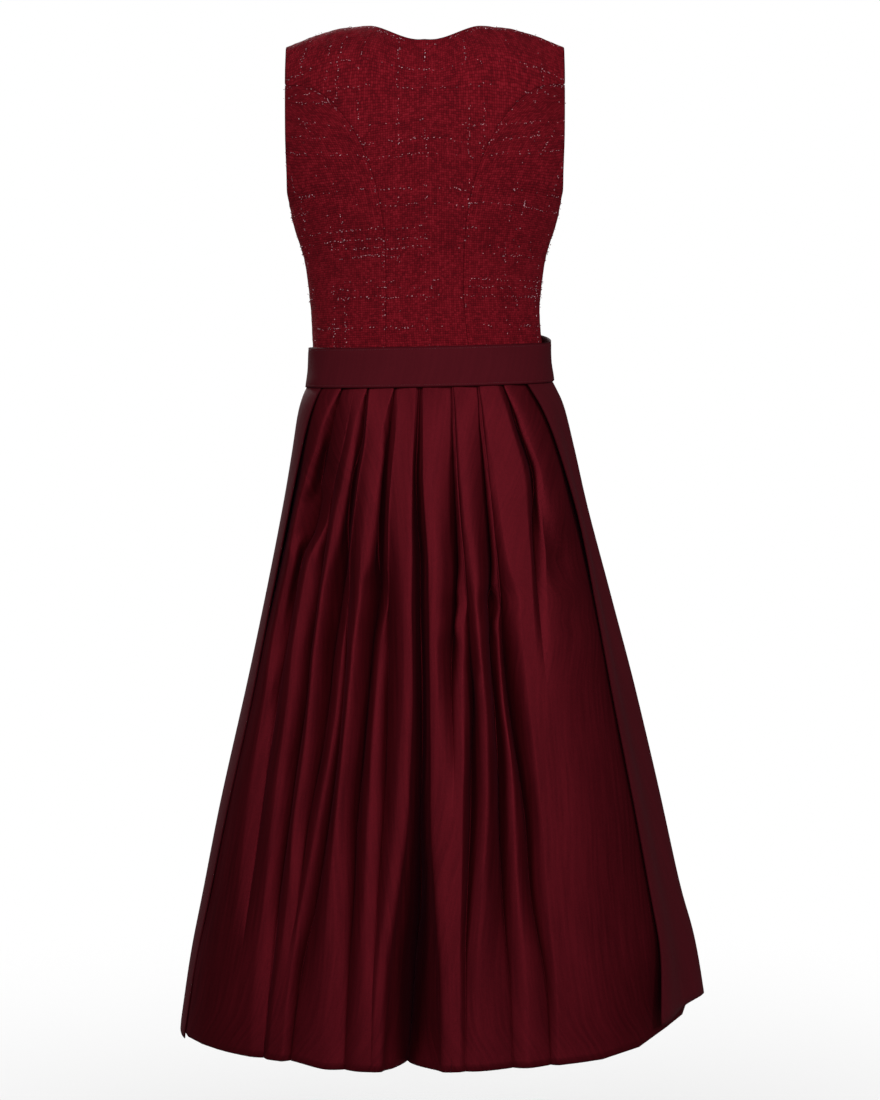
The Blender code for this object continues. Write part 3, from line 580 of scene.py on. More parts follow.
def thread_tree():
    """Geometry Nodes: short bits of thread along lines, some of them left out, each turned a little."""
    tree = bpy.data.node_groups.new("Thread bits", "GeometryNodeTree")
    tree.interface.new_socket("Geometry", in_out="INPUT", socket_type="NodeSocketGeometry")
    for title in ("Spacing", "Length", "Width", "Kept", "Patchiness", "Wander", "Tilt"):
        tree.interface.new_socket(title, in_out="INPUT", socket_type="NodeSocketFloat")
    tree.interface.new_socket("Seed", in_out="INPUT", socket_type="NodeSocketInt")
    tree.interface.new_socket("Material", in_out="INPUT", socket_type="NodeSocketMaterial")
    tree.interface.new_socket("Geometry", in_out="OUTPUT", socket_type="NodeSocketGeometry")
    given = tree.nodes.new("NodeGroupInput").outputs
    curve = node(tree, "GeometryNodeMeshToCurve", {"Mesh": given["Geometry"]})
    points = node(tree, "GeometryNodeCurveToPoints", {"Curve": curve.outputs[0], "Length": given["Spacing"]},
                  mode="LENGTH")
    place = node(tree, "GeometryNodeInputPosition")
    patch = node(tree, "ShaderNodeTexNoise", {"Vector": place.outputs[0], "Scale": 26.0, "Detail": 1.0})
    uneven = sums(tree, "SUBTRACT", patch.outputs["Fac"], 0.5)
    chance = sums(tree, "MULTIPLY_ADD", uneven, given["Patchiness"], given["Kept"])
    dice = node(tree, "FunctionNodeRandomValue", {"Seed": given["Seed"]}, data_type="FLOAT")
    left_out = node(tree, "FunctionNodeCompare", {"A": dice.outputs["Value"], "B": chance},
                    data_type="FLOAT", operation="GREATER_THAN")
    kept = node(tree, "GeometryNodeDeleteGeometry",
                {"Geometry": points.outputs["Points"], "Selection": left_out.outputs[0]}, domain="POINT")
    spread = node(tree, "FunctionNodeRandomValue",
                  {"Min": (-1.0, -1.0, -1.0), "Max": (1.0, 1.0, 1.0), "Seed": given["Seed"]},
                  data_type="FLOAT_VECTOR")
    shift = node(tree, "ShaderNodeVectorMath", {0: spread.outputs["Value"], "Scale": given["Wander"]},
                 operation="SCALE")
    moved = node(tree, "GeometryNodeSetPosition", {"Geometry": kept.outputs[0], "Offset": shift.outputs[0]})
    ball = node(tree, "GeometryNodeMeshUVSphere", {"Segments": 6, "Rings": 4, "Radius": 0.5})
    size = node(tree, "ShaderNodeCombineXYZ", {0: given["Width"], 1: given["Width"], 2: given["Length"]})
    longer = node(tree, "FunctionNodeRandomValue", {"Seed": sums(tree, "ADD", given["Seed"], 5.0)},
                  data_type="FLOAT")
    factor = sums(tree, "MULTIPLY_ADD", longer.outputs["Value"], 0.5, 0.75)
    scaled = node(tree, "ShaderNodeVectorMath", {0: size.outputs[0], "Scale": factor}, operation="SCALE")
    tilt = node(tree, "ShaderNodeVectorMath", {0: spread.outputs["Value"], "Scale": given["Tilt"]},
                operation="SCALE")
    turn = node(tree, "FunctionNodeRotateRotation",
                {"Rotation": points.outputs["Rotation"], "Rotate By": tilt.outputs[0]},
                rotation_space="LOCAL")
    bits = node(tree, "GeometryNodeInstanceOnPoints",
                {"Points": moved.outputs[0], "Instance": ball.outputs["Mesh"], "Rotation": turn.outputs[0],
                 "Scale": scaled.outputs[0]})
    real = node(tree, "GeometryNodeRealizeInstances", {"Geometry": bits.outputs[0]})
    finished = node(tree, "GeometryNodeSetMaterial",
                    {"Geometry": real.outputs[0], "Material": given["Material"]})
    end = tree.nodes.new("NodeGroupOutput")
    tree.links.new(finished.outputs[0], end.inputs[0])
    return tree


THREAD_BITS = thread_tree()


def thread_piece(name, lines, values, material):
    """Bits of thread along lines of points, made by the tree and turned into a plain mesh."""
    mesh = bpy.data.meshes.new(name + "_lines")
    points, edges = [], []
    for line in lines:
        start = len(points)
        points += [tuple(point) for point in line]
        edges += [(start + i, start + i + 1) for i in range(len(line) - 1)]
    mesh.from_pydata(points, edges, [])
    guide = new_object(name + "_guide", mesh)
    modifier = guide.modifiers.new("bits", "NODES")
    modifier.node_group = THREAD_BITS
    values = {**values, "Material": material}
    for item in THREAD_BITS.interface.items_tree:
        if item.in_out == "INPUT" and item.name in values:
            modifier[item.identifier] = values[item.name]
    graph = bpy.context.evaluated_depsgraph_get()
    made = bpy.data.meshes.new_from_object(guide.evaluated_get(graph))
    bpy.data.objects.remove(guide)
    made.name = name
    made.shade_smooth()
    piece = new_object(name, made)
    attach(piece, "root")
    return piece


def woven_lines(grid, places, along_rows, lift):
    """Lines on a panel at given flat places: weft lines cross its columns, warp lines its rows."""
    outer, normals, across, along = grid
    raised = outer + normals * lift
    key = along if along_rows else across
    if not along_rows:
        raised, key = raised.transpose(1, 0, 2), key.T
    lines = []
    for place in places:
        below = key[:-1] - place
        above = key[1:] - place
        crossed = (below * above <= 0) & (abs(above - below) > 1e-9)
        line = []
        for column in range(key.shape[1]):
            rows = np.nonzero(crossed[:, column])[0]
            if len(rows) == 0:
                if len(line) > SHORTEST_LINE:
                    lines.append(line)
                line = []
                continue
            row = rows[0]
            share = below[row, column] / (below[row, column] - above[row, column])
            line.append(mix(raised[row, column], raised[row + 1, column], share))
        if len(line) > SHORTEST_LINE:
            lines.append(line)
    return lines


def glitter_material():
    material, tree, shader = new_material("glitter_thread")
    set_shader(shader, Metallic=0.6)
    place = node(tree, "ShaderNodeTexCoord").outputs["Object"]
    noise = node(tree, "ShaderNodeTexNoise", {"Vector": place, "Scale": 400.0})
    colour = ramp(tree, noise.outputs["Fac"], [(0.35, (0.30, 0.08, 0.11)), (0.65, (0.80, 0.46, 0.52))])
    tree.links.new(colour, shader.inputs["Base Color"])
    rough = node(tree, "ShaderNodeMapRange", {"Value": noise.outputs["Fac"], "To Min": 0.18, "To Max": 0.45})
    tree.links.new(rough.outputs[0], shader.inputs["Roughness"])
    return material


GLITTER = glitter_material()
for along_rows, name, places, kept, seed in ((True, "glitter_weft", WEFT_PLACES, 0.40, 11),
                                             (False, "glitter_warp", WARP_PLACES, 0.24, 4)):
    lines = [line for grid in tweed_grids.values()
             for line in woven_lines(grid, places, along_rows, THREAD_LIFT)]
    bits = {"Spacing": 0.0022, "Length": 0.0019, "Width": 0.0009, "Kept": kept, "Patchiness": 2.2,
            "Wander": 0.0016, "Tilt": 0.8, "Seed": seed}
    thread_piece(name, lines, bits, GLITTER)


# Back of the skirt. Burgundy satin, laid in knife pleats that face the centre back on both sides of an
# inverted pleat, and sewn into the waist seam. Below the waist the pleats open into long soft folds.

SATIN = 0.0006
SKIRT_LENGTH = 0.811
HEM_TURN = 0.045
MM = 0.001
SATIN_ROWS = 110
# The hem's right end is lifted by so much and its left end by a share of that, from so far out and down on
HEM_LIFT, LEFT_HEM_SHARE = 0.014, 0.35
LIFT_RIGHT, LIFT_LEFT, LIFT_DOWN = (0.20, 0.08), (0.13, 0.05), (0.62, 0.18)
BELL = Table("drop half back front lean under_right", [
    (0.0000, 0.1415, 0.0995, 0.0975, 0.0050, 0.0000),
    (0.0223, 0.1490, 0.1110, 0.1070, 0.0055, 0.0055),
    (0.0320, 0.1535, 0.1150, 0.1110, 0.0058, 0.0065),
    (0.0500, 0.1600, 0.1220, 0.1160, 0.0070, 0.0080),
    (0.1050, 0.1725, 0.1380, 0.1275, 0.0095, 0.0145),
    (0.1660, 0.1852, 0.1525, 0.1390, 0.0113, 0.0190),
    (0.2900, 0.2138, 0.1770, 0.1600, 0.0149, 0.0235),
    (0.4100, 0.2425, 0.1965, 0.1815, 0.0174, 0.0245),
    (0.5300, 0.2705, 0.2150, 0.2010, 0.0178, 0.0250),
    (0.6540, 0.2968, 0.2340, 0.2210, 0.0192, 0.0250),
    (0.7150, 0.3105, 0.2430, 0.2310, 0.0210, 0.0250),
    (0.8110, 0.3260, 0.2560, 0.2450, 0.0222, 0.0250)])


def bell(angle, drop, out=0.0):
    """Points of the skirt's bell before it hangs askew, moved out level by a distance."""
    half = BELL.at("half", drop)
    depth = np.where(np.cos(angle) > 0, BELL.at("back", drop), BELL.at("front", drop))
    level = unit(stack(np.sin(angle) / half, -np.cos(angle) / depth, 0.0))
    return stack(half * np.sin(angle), -depth * np.cos(angle), -drop) + level * np.asarray(out)[..., None]


def hang(point):
    """Lean the skirt to the right, lower its left side and lift the ends of its hem."""
    x, y, z = point[..., 0], point[..., 1], point[..., 2]
    ends = ease_from(x, *LIFT_RIGHT) + LEFT_HEM_SHARE * ease_from(-x, *LIFT_LEFT)
    lift = HEM_LIFT * ends * ease_from(-z, *LIFT_DOWN)
    return stack(x + BELL.at("lean", -z), y, z + TILT * x + lift - ORIGIN_HEIGHT)


# The photograph that the folds were read in, in its pixels, where its camera stood, and how far down the
# skirt each reading lies
PHOTO_FOCAL, PHOTO_MIDDLE, PHOTO_HEIGHT, PHOTO_HORIZON_ABOVE = 2993, 440, 1100, 250
CAMERA_PLACE = (0.018, -3.65, -0.322)
CAMERA_FALL = math.atan(PHOTO_HORIZON_ABOVE / PHOTO_FOCAL)
FOLD_DROPS = np.array((0.02, 0.074, 0.132, 0.18, 0.226, 0.272, 0.33, 0.388, 0.457, 0.526, 0.617, 0.708,
                       0.81))
# The outermost place that is looked for, the share of a valley's depth at which it is seen, and how much
# nearer the centre a pleat starts at the seam
WIDEST_PLACE, SEEN_DEPTH, SEAM_PLEAT_SHIFT = 0.985, 0.45, 0.03


def seen_column(place, drop, inset):
    """The photograph's column in which a point of the back is seen; a place is the sine of its angle."""
    point = hang(bell(np.arcsin(place), drop, -inset)) - CAMERA_PLACE
    away = point[..., 1] * math.cos(CAMERA_FALL) - point[..., 2] * math.sin(CAMERA_FALL)
    return PHOTO_MIDDLE + PHOTO_FOCAL * point[..., 0] / away


def place_of(column, drop, inset=0.0):
    """The place on the back that is seen in a column, found by halving."""
    low, high = np.full_like(drop, -WIDEST_PLACE), np.full_like(drop, WIDEST_PLACE)
    for _ in range(30):
        middle = (low + high) / 2
        short = seen_column(middle, drop, inset) < column
        low, high = np.where(short, middle, low), np.where(short, high, middle)
    return (low + high) / 2


def fold_table(hand, columns, depths, mouths, rims):
    """One fold from the waist seam down; at the seam its pleat starts a little nearer the centre."""
    places = hand * place_of(columns, FOLD_DROPS, SEEN_DEPTH * MM * np.array(depths))
    seam = (0.0, places[0] - SEAM_PLEAT_SHIFT, 3 if depths[0] else 0, 2, 0)
    return Table("drop place depth mouth rim", [seam, *zip(FOLD_DROPS, places, depths, mouths, rims)])


# Each fold of the back from the centre outward, read at those drops: the column of its valley, and in
# millimetres the valley's depth, how wide it opens toward the next fold, and how far in that fold's rim lies
LEFT_FOLDS = (
    ((401, 396, 391, 388, 387, 386, 385.5, 385, 384, 382, 377, 372, 370),
     (1, 3, 5, 8, 13, 21, 26, 24, 20, 15, 9, 3, 0), (1, 1, 1, 1, 1, 2, 9, 12, 15, 16, 14, 12, 12),
     (1, 3, 5, 8, 13, 21, 21, 14, 8, 5, 3, 1, 0)),
    ((395.5, 388, 382, 379, 376, 373.5, 367, 363.5, 359, 354, 351, 347, 343),
     (4, 11, 20, 28, 32, 34, 32, 29, 26, 23, 18, 12, 7), (2, 7, 8, 12, 13, 13, 13, 15, 18, 20, 25, 26, 26),
     (0,) * 13),
    ((371, 366, 358, 352, 347, 344, 342, 339, 334, 326, 314, 298, 288),
     (1, 3, 5, 8, 13, 20, 21, 19, 17, 17, 16, 13, 8), (1, 1, 1, 1, 1, 2, 5, 6, 8, 10, 14, 21, 21),
     (1, 3, 5, 8, 13, 20, 18, 15, 9, 6, 3, 0, 0)),
    ((369, 361, 352, 346, 341, 334, 327.5, 323, 316, 306, 297, 285, 276),
     (4, 11, 19, 26, 28, 30, 28, 25, 20, 14, 6, 0, 0), (2, 8, 8, 11, 12, 11, 12, 13, 14, 14, 12, 12, 12),
     (0,) * 13),
    ((356, 345, 332, 323, 318, 313.5, 307, 302, 293, 286, 276, 269, 262),
     (1, 4, 10, 21, 21, 20, 21, 21, 20, 18, 14, 9, 5), (1, 2, 3, 4, 13, 17, 17, 17, 15, 15, 14, 20, 20),
     (1, 4, 10, 19, 5, 2, 0, 0, 0, 0, 0, 0, 0)),
    ((344, 328, 316, 308, 298, 290, 281, 273, 265, 258, 248, 240, 234),
     (4, 12, 26, 27, 22, 19, 17, 15, 12, 11, 6, 0, 0), (2, 7, 9, 10, 10, 12, 14, 11, 19, 24, 21, 24, 24),
     (0,) * 13))
RIGHT_FOLDS = (
    ((451.6, 453, 455, 457, 459, 456.5, 453, 452, 454, 453, 452, 452, 452),
     (4, 10, 19, 26, 31, 31, 24, 15, 7, 0, 0, 0, 0), (1, 4, 5, 6, 8, 14, 12, 12, 11, 11, 11, 11, 11),
     (1, 3, 4, 5, 6, 11, 10, 6, 2, 0, 0, 0, 0)),
    ((452.6, 455.6, 458, 461, 465, 468.5, 471.5, 474, 473, 472, 468, 466, 466),
     (1, 3, 4, 5, 6, 11, 17, 24, 23, 20, 13, 6, 3), (1, 3, 4, 5, 7, 8, 9, 11, 15, 16, 16, 14, 14),
     (0,) * 13),
    ((477, 481, 486, 490, 493, 492.5, 494, 497, 501, 502, 505, 511, 514),
     (4, 10, 18, 26, 32, 34, 33, 31, 29, 26, 21, 14, 8), (1, 4, 6, 7, 9, 16, 9, 9, 12, 14, 15, 18, 18),
     (1, 4, 5, 9, 12, 19, 22, 18, 11, 7, 4, 2, 0)),
    ((478, 484, 490, 495, 499.5, 504, 507.5, 513, 521, 529, 534, 547, 552),
     (1, 4, 5, 9, 12, 19, 28, 31, 28, 24, 19, 12, 6), (1, 3, 7, 7, 9, 18, 28, 36, 36, 32, 30, 26, 24),
     (0,) * 13),
    ((492, 508, 521, 525, 528, 530, 533, 538, 544, 550, 558, 562, 566), (0,) * 13, (4,) * 13, (0,) * 13),
    ((501.6, 518, 534, 536, 537, 539, 543, 548, 554, 560, 567, 574, 578),
     (4, 12, 18, 16, 11, 6, 2, 0, 0, 0, 0, 0, 0), (2, 8, 9, 12, 12, 12, 14, 14, 14, 14, 14, 14, 14),
     (0,) * 13))
LEFT_TABLES = [fold_table(-1, *fold) for fold in LEFT_FOLDS]
RIGHT_TABLES = [fold_table(1, *fold) for fold in RIGHT_FOLDS]
# Soft ridges and creases inside the wide strips: the width, then drop, column and rise, in millimetres
RIDGES = (
    (5, (0.12, 0.18, 0.226, 0.272, 0.33, 0.388), (537, 546, 552, 560, 569, 578), (0, -3, -9, -7, -2, 0)),
    (5, (0.18, 0.226, 0.272, 0.33), (565, 573, 580, 588), (0, -6, -5, 0)),
    (16, (0.33, 0.388, 0.457, 0.526, 0.617, 0.708, 0.81), (590, 598, 610, 620, 630, 632, 634),
     (-2, -4, -5, -6, -6, -4, -2)))
RIDGE_TABLES = [(width, Table("drop place rise", list(zip(drops, place_of(columns, np.array(drops)), rises))))
                for width, drops, columns, rises in RIDGES]
# The inverted pleat: the columns of its left edge, its valley and its right edge, and its depth
CENTRE_DROPS = np.array((0.00, *FOLD_DROPS[:-1], 0.76, 0.81))
CENTRE_LEFT = (418.3, 416, 413, 411, 411, 412, 412, 413, 413.2, 411, 408, 398.2, 387, 384.3, 382.2)
CENTRE_VALLEY = (421.3, 420, 418, 416, 417, 420, 420, 421.2, 422.2, 422, 420.4, 420.8, 414.3, 411.4, 407)
CENTRE_RIGHT = (424.8, 424, 424, 424, 426, 428, 428, 428.3, 429.1, 430, 430, 433.8, 439, 440.1, 441)
CENTRE_DEPTH = np.array((3, 4, 8, 15, 22, 26, 28, 30, 31, 32, 40, 64, 82, 78, 50))
CENTRE_PLEAT = Table("drop left_edge valley right_edge depth", list(zip(
    CENTRE_DROPS, place_of(CENTRE_LEFT, CENTRE_DROPS),
    place_of(CENTRE_VALLEY, CENTRE_DROPS, CENTRE_DEPTH * MM), place_of(CENTRE_RIGHT, CENTRE_DROPS),
    CENTRE_DEPTH)))
# How far a pressed fold lies over the strip beside it, and how soft its turn is, going down
FOLD = Table("drop over turn under full closed wall", [
    (0.00, 0.0016, 0.0012, 0.0050, 0.003, 1.0, 0.0), (0.06, 0.0030, 0.0016, 0.0060, 0.004, 1.0, 0.0),
    (0.12, 0.0030, 0.0026, 0.0070, 0.010, 1.0, 0.0), (0.20, 0.0018, 0.0040, 0.0080, 0.014, 1.0, 0.0),
    (0.29, 0.0000, 0.0070, 0.0080, 0.014, 0.9, 0.0), (0.38, 0.0000, 0.0090, 0.0070, 0.014, 0.5, 0.0),
    (0.46, 0.0000, 0.0110, 0.0070, 0.014, 0.2, 0.2), (0.62, 0.0000, 0.0120, 0.0060, 0.014, 0.0, 1.0),
    (0.81, 0.0000, 0.0120, 0.0050, 0.014, 0.0, 1.0)])
# Where the apron's side edges lie on the skirt, in degrees from the centre back, and how far the skirt sinks
# in beneath them
APRON_EDGE = Table("drop left right", [
    (0.020, 60.0, 51.0), (0.100, 68.0, 61.0), (0.190, 71.5, 66.0), (0.290, 72.5, 63.0),
    (0.410, 71.5, 60.0), (0.650, 74.0, 59.0), (0.800, 76.0, 53.0)])
APRON_STEP = Table("drop right left", [
    (0.00, 0.0000, 0.0000), (0.0223, 0.0035, 0.0030), (0.05, 0.0060, 0.0050), (0.10, 0.0085, 0.0080),
    (0.18, 0.0080, 0.0075), (0.27, 0.0050, 0.0050), (0.33, 0.0030, 0.0028), (0.39, 0.0021, 0.0025),
    (0.60, 0.0018, 0.0025), (0.70, 0.0020, 0.0025), (0.81, 0.0060, 0.0025)])
# Over how many degrees the skirt sinks before the apron's edge, and how far it stays flat beneath it
APRON_RAMP = Table("drop right left right_flat left_flat", [
    (0.00, 5.0, 5.0, 0.0, 0.0), (0.45, 5.0, 5.0, 0.0, 4.0), (0.60, 6.0, 3.0, 0.0, 12.0),
    (0.81, 16.0, 2.0, 0.0, 14.0)])
# The share of its full depth that the skirt lies in farther beneath the apron, the drops over which that
# grows to the whole, and the degrees that it takes
UNDER_SHARE, UNDER_FULL, UNDER_DEGREES = 0.62, (0.60, 0.15), 12
# The slit that stays open at a fold's valley, the share of a strip that its mouth may take, beside a
# deeper fold and beside one that runs on level with it, and where pressed strips come to hang slack
SLIT, CENTRE_SLIT = 0.0010, 0.0012
ROOM, LEVEL_ROOM = 0.55, 0.94
SLACK = (0.12, 0.25)
# Where a strip has its controls, as shares of its width, and where it starts to sink and how fast
STRIP = (0.14, 0.32, 0.50, 0.68, 0.86, 1.0)
PRESSED_SAG, SLACK_SAG = (0.12, 1.3), (0.16, 1.5)
# A lip's controls from its valley outward: where they lie in its mouth when the fold is open, and when it is
# shut how far under the lip, how far out in the mouth and how deep, all as shares
LIP = ((0.00, 1.00, 0.00, 1.00), (0.22, 1.00, 0.00, 0.78), (0.36, -0.12, 0.00, 0.46),
       (0.50, -0.12, 0.00, 0.22), (0.66, 0.00, 0.25, 0.07), (0.83, 0.00, 0.65, 0.00),
       (1.00, 0.00, 1.00, 0.00))
# How deep a strip lies beside a shut fold, how much of its mouth a level fold keeps, how wide for its depth a
# mouth gapes, and how near two depths are when they count as level
STRIP_BOTTOM, LEVEL_MOUTH, GAPE, ALIKE = 0.82, 0.25, (0.55, 0.35), 4 * MM


def under_apron(angle, drop):
    """How far the skirt lies in beneath the apron: a little at its edges, more under its folds."""
    recess = 0.0
    for hand, name in ((1, "right"), (-1, "left")):
        past = hand * np.degrees(angle) - APRON_EDGE.at(name, drop)
        at_edge = APRON_STEP.at(name, drop)
        deep = BELL.at("under_right", drop) * mix(UNDER_SHARE, 1.0, ease_from(drop, *UNDER_FULL))
        beyond = ease_from(past, APRON_RAMP.at(name + "_flat", drop), UNDER_DEGREES)
        inside = mix(at_edge, np.maximum(deep, at_edge), beyond)
        recess = recess + np.where(hand * angle > 0, inside * ease(past / APRON_RAMP.at(name, drop) + 1), 0.0)
    return recess


def likeness(one, other):
    """1 where two depths are the same and not small, 0 where they are some millimetres apart."""
    return (1 - ease(np.abs(one - other) / ALIKE)) * ease(np.minimum(one, other) / ALIKE)


def sag(share, start, power):
    """How far a strip has sunk at a share of its width."""
    return (max(share - start, 0.0) / (1 - start)) ** power


def fold_controls(start, folds, last, drop):
    """Controls of one side from the centre outward: each strip sinks and passes under the next fold's lip."""
    half, nothing = BELL.at("half", drop), 0 * drop
    slack = ease_from(drop, *SLACK)
    slit = SLIT / half
    run, edge, rim, plain = [], start, nothing, nothing
    for fold, following in zip(folds, folds[1:] + [(last, nothing)]):
        valley, depth, mouth, next_rim = fold
        next_valley, next_depth = following[:2]
        reach = mix(ROOM, LEVEL_ROOM, likeness(next_depth, next_rim))
        wide = np.minimum(mouth / half, reach * (next_valley - valley))
        fall = np.maximum(depth - np.maximum(rim, next_rim), 0.0)
        gape = ease_from(wide * half / np.maximum(fall, MM), *GAPE)
        closed = FOLD.at("closed", drop) * np.minimum(1.0, fall / FOLD.at("full", drop)) * (1 - gape)
        under = closed * FOLD.at("under", drop) / half
        for share in STRIP:
            sunk = mix(share ** 1.5, mix(sag(share, *PRESSED_SAG), sag(share, *SLACK_SAG), slack), closed)
            bottom = mix(1.0, STRIP_BOTTOM, closed) * depth
            run.append((mix(edge, valley - slit * (1 - closed), share),
                        mix(rim, bottom, mix(sunk, share ** 1.1, plain))))
        plain = likeness(depth, next_rim)
        wide = wide * mix(1.0, LEVEL_MOUTH, plain)
        run.append((valley + 0.5 * under, mix(depth + 0.15 * (depth - next_rim), 0.91 * depth, closed)))
        for share, beneath, out, low in LIP:
            opened = np.maximum(share * wide, min(share + 0.4, 1.0) * 0.5 * slit)
            shut = beneath * under + out * wide
            run.append((valley + mix(opened, shut, closed),
                        mix(next_rim, depth, mix((1 - share) ** 1.6, low, closed))))
        edge, rim = valley + wide, next_rim
    return run + [(mix(edge, last, share), rim * (1 - share)) for share in (0.5, 1.0)]


def folds_of(tables, drop):
    """Valleys of one side of the back, from the centre outward."""
    return [(np.arcsin(table.at("place", drop)), table.at("depth", drop) * MM, table.at("mouth", drop) * MM,
             table.at("rim", drop) * MM) for table in tables]


def small_ridges(angle, level):
    """How far the small ridges rise at each point."""
    rise = 0 * angle
    for width, table in RIDGE_TABLES:
        away = (angle - np.arcsin(table.at("place", level))) * BELL.at("half", level) / (width * MM)
        rise = rise + table.at("rise", level) * MM * np.exp(-away ** 2)
    return rise


def back_controls(drop):
    """The pleated back from the left side seam to the right one."""
    quarter = np.full_like(drop, np.pi / 2)
    left_edge, valley, right_edge = (np.arcsin(CENTRE_PLEAT.at(name, drop))
                                     for name in ("left_edge", "valley", "right_edge"))
    depth = CENTRE_PLEAT.at("depth", drop) * MM
    half = BELL.at("half", drop)
    over, turn = FOLD.at("over", drop) / half, FOLD.at("turn", drop) / half
    sides = [[(edge + turn, 0 * drop)] + fold_controls(edge + turn, folds_of(tables, drop), quarter, drop)
             for edge, tables in ((-left_edge, LEFT_TABLES), (right_edge, RIGHT_TABLES))]
    slit, wall = CENTRE_SLIT / half, FOLD.at("wall", drop)
    centre = [(left_edge + over, depth * 0.03), (left_edge, depth * 0.20),
              (mix(left_edge, valley, 0.40), depth * mix(0.55, 0.36, wall)),
              (mix(left_edge, valley, 0.75), depth * mix(0.84, 0.74, wall)),
              (valley - slit, depth), (valley, depth * 1.2), (valley + slit, depth),
              (mix(valley, right_edge, 0.40), depth * 0.60), (right_edge, depth * 0.16),
              (right_edge - over, depth * 0.03)]
    return [(-angle, inset) for angle, inset in reversed(sides[0])] + centre + sides[1]


def rounded(controls, steps):
    """A smooth line that cuts the corners between controls; one row for each drop."""
    line = np.stack([np.stack(np.broadcast_arrays(*control), axis=-1) for control in controls], axis=1)
    line = np.concatenate([2 * line[:, :1] - line[:, 1:2], line, 2 * line[:, -1:] - line[:, -2:-1]], axis=1)
    parts = []
    for i in range(1, line.shape[1] - 1):
        for step in range(steps):
            t = step / steps
            parts.append(0.5 * (1 - t) ** 2 * line[:, i - 1] + (0.5 + t * (1 - t)) * line[:, i]
                         + 0.5 * t * t * line[:, i + 1])
    parts.append(0.5 * (line[:, -2] + line[:, -1]))
    made = np.stack(parts, axis=1)
    return made[..., 0], made[..., 1]


def satin_material(name, dark, light, roughness, metallic, sheen):
    """Satin: floats of weft that shine in folds, with fine uneven streaks along the drop."""
    material, tree, shader = new_material(name)
    cloth = node(tree, "ShaderNodeUVMap", uv_map="cloth").outputs[0]
    weave = node(tree, "ShaderNodeGroup", {"Cloth": cloth, "Across pitch": 0.0016, "Along pitch": 0.0006,
                                           "Wander": 0.0004}, node_tree=WOVEN)
    drawn = node(tree, "ShaderNodeMapping", {"Vector": cloth, "Scale": (210.0, 11.0, 1.0)})
    streak = node(tree, "ShaderNodeTexNoise", {"Vector": drawn.outputs[0], "Scale": 1.0, "Detail": 4.0})
    cloudy = node(tree, "ShaderNodeMapping", {"Vector": cloth, "Scale": (16.0, 5.0, 1.0)})
    cloud = node(tree, "ShaderNodeTexNoise", {"Vector": cloudy.outputs[0], "Scale": 1.0, "Detail": 2.0})
    tone = sums(tree, "MULTIPLY_ADD", streak.outputs["Fac"], 0.55,
                sums(tree, "MULTIPLY_ADD", weave.outputs["Crossing"], 0.12,
                     sums(tree, "MULTIPLY", cloud.outputs["Fac"], 0.30)))
    colour = ramp(tree, tone, [(0.25, dark), (0.70, light)])
    # Darkening along the hem and edges: partly the double cloth's own tone, partly painted shade
    pressed = node(tree, "ShaderNodeGroup", {"Colour": colour, "Reach": 0.0016, "Darkness": 0.45},
                   node_tree=PRESSED_SHADE)
    tree.links.new(pressed.outputs["Colour"], shader.inputs["Base Color"])
    rough = node(tree, "ShaderNodeMapRange",
                 {"Value": streak.outputs["Fac"], "From Min": 0.3, "From Max": 0.7,
                  "To Min": roughness - 0.03, "To Max": roughness + 0.04})
    tree.links.new(rough.outputs[0], shader.inputs["Roughness"])
    relief = sums(tree, "MULTIPLY_ADD", streak.outputs["Fac"], 0.6,
                  sums(tree, "MULTIPLY", weave.outputs["Height"], 0.16))
    bump = node(tree, "ShaderNodeBump", {"Height": relief, "Strength": 0.60, "Distance": 0.0006})
    tree.links.new(bump.outputs[0], shader.inputs["Normal"])
    set_shader(shader, Metallic=metallic, Specular_IOR_Level=0.2, Specular_Tint=(0.50, 0.06, 0.10, 1.0),
               Sheen_Weight=sheen, Sheen_Roughness=0.35, Sheen_Tint=(0.42, 0.14, 0.24, 1.0))
    return material


SATIN_BURGUNDY = satin_material(
    "burgundy_satin", dark=(0.062, 0.0042, 0.0074), light=(0.128, 0.0080, 0.0141), roughness=0.54,
    metallic=0.73, sheen=0.05)


# How much closer the mesh's rows lie at the top, and the satin's soft unevenness and its size
ROWS_CROWDED_UP = 1.15
UNEVENNESS, UNEVEN_SIZE = 0.0006, 0.030


def satin_skirt(name, node_name, controls, shift, steps):
    """Half of the skirt: a shell of satin from the waist seam to the hem, which is turned up inside."""
    drop = mix(SEAM_GAP / 2, SKIRT_LENGTH, np.linspace(0, 1, SATIN_ROWS) ** ROWS_CROWDED_UP)
    angle, inset = rounded(controls(drop), steps)
    level = np.broadcast_to(drop[:, None], angle.shape)
    turn = np.where(angle > np.pi, angle - 2 * np.pi, angle)
    points = hang(bell(angle, level, small_ridges(angle, level) - inset - under_apron(turn, level)))
    points[:, [0, -1], 1] += shift
    columns = np.arange(angle.shape[1])
    calm = ease(np.minimum(columns, columns[::-1]) / 12) * ease(level / 0.10)
    bumps = UNEVENNESS * calm * lumps(angle * 0.2, level * 0.35, UNEVEN_SIZE, 5)
    points = points + grid_normals(points) * bumps[..., None]
    across, along = cloth_map(points, points.shape[1] // 2)
    edge = SKIRT_LENGTH - level
    thickness = mix(SATIN, 2 * SATIN, ease((HEM_TURN - edge) / 0.004))
    piece = cloth_shell(name, points, thickness, SATIN_BURGUNDY, (across, along), edge)
    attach(piece, "root")
    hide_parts(node_name)
    return piece


skirt = satin_skirt("satin_skirt_back", "skirt_back", back_controls, -SEAM_GAP / 2, 2)


# Front of the skirt. The same satin in plain knife pleats under the apron, sewn to the back at the side
# seams.

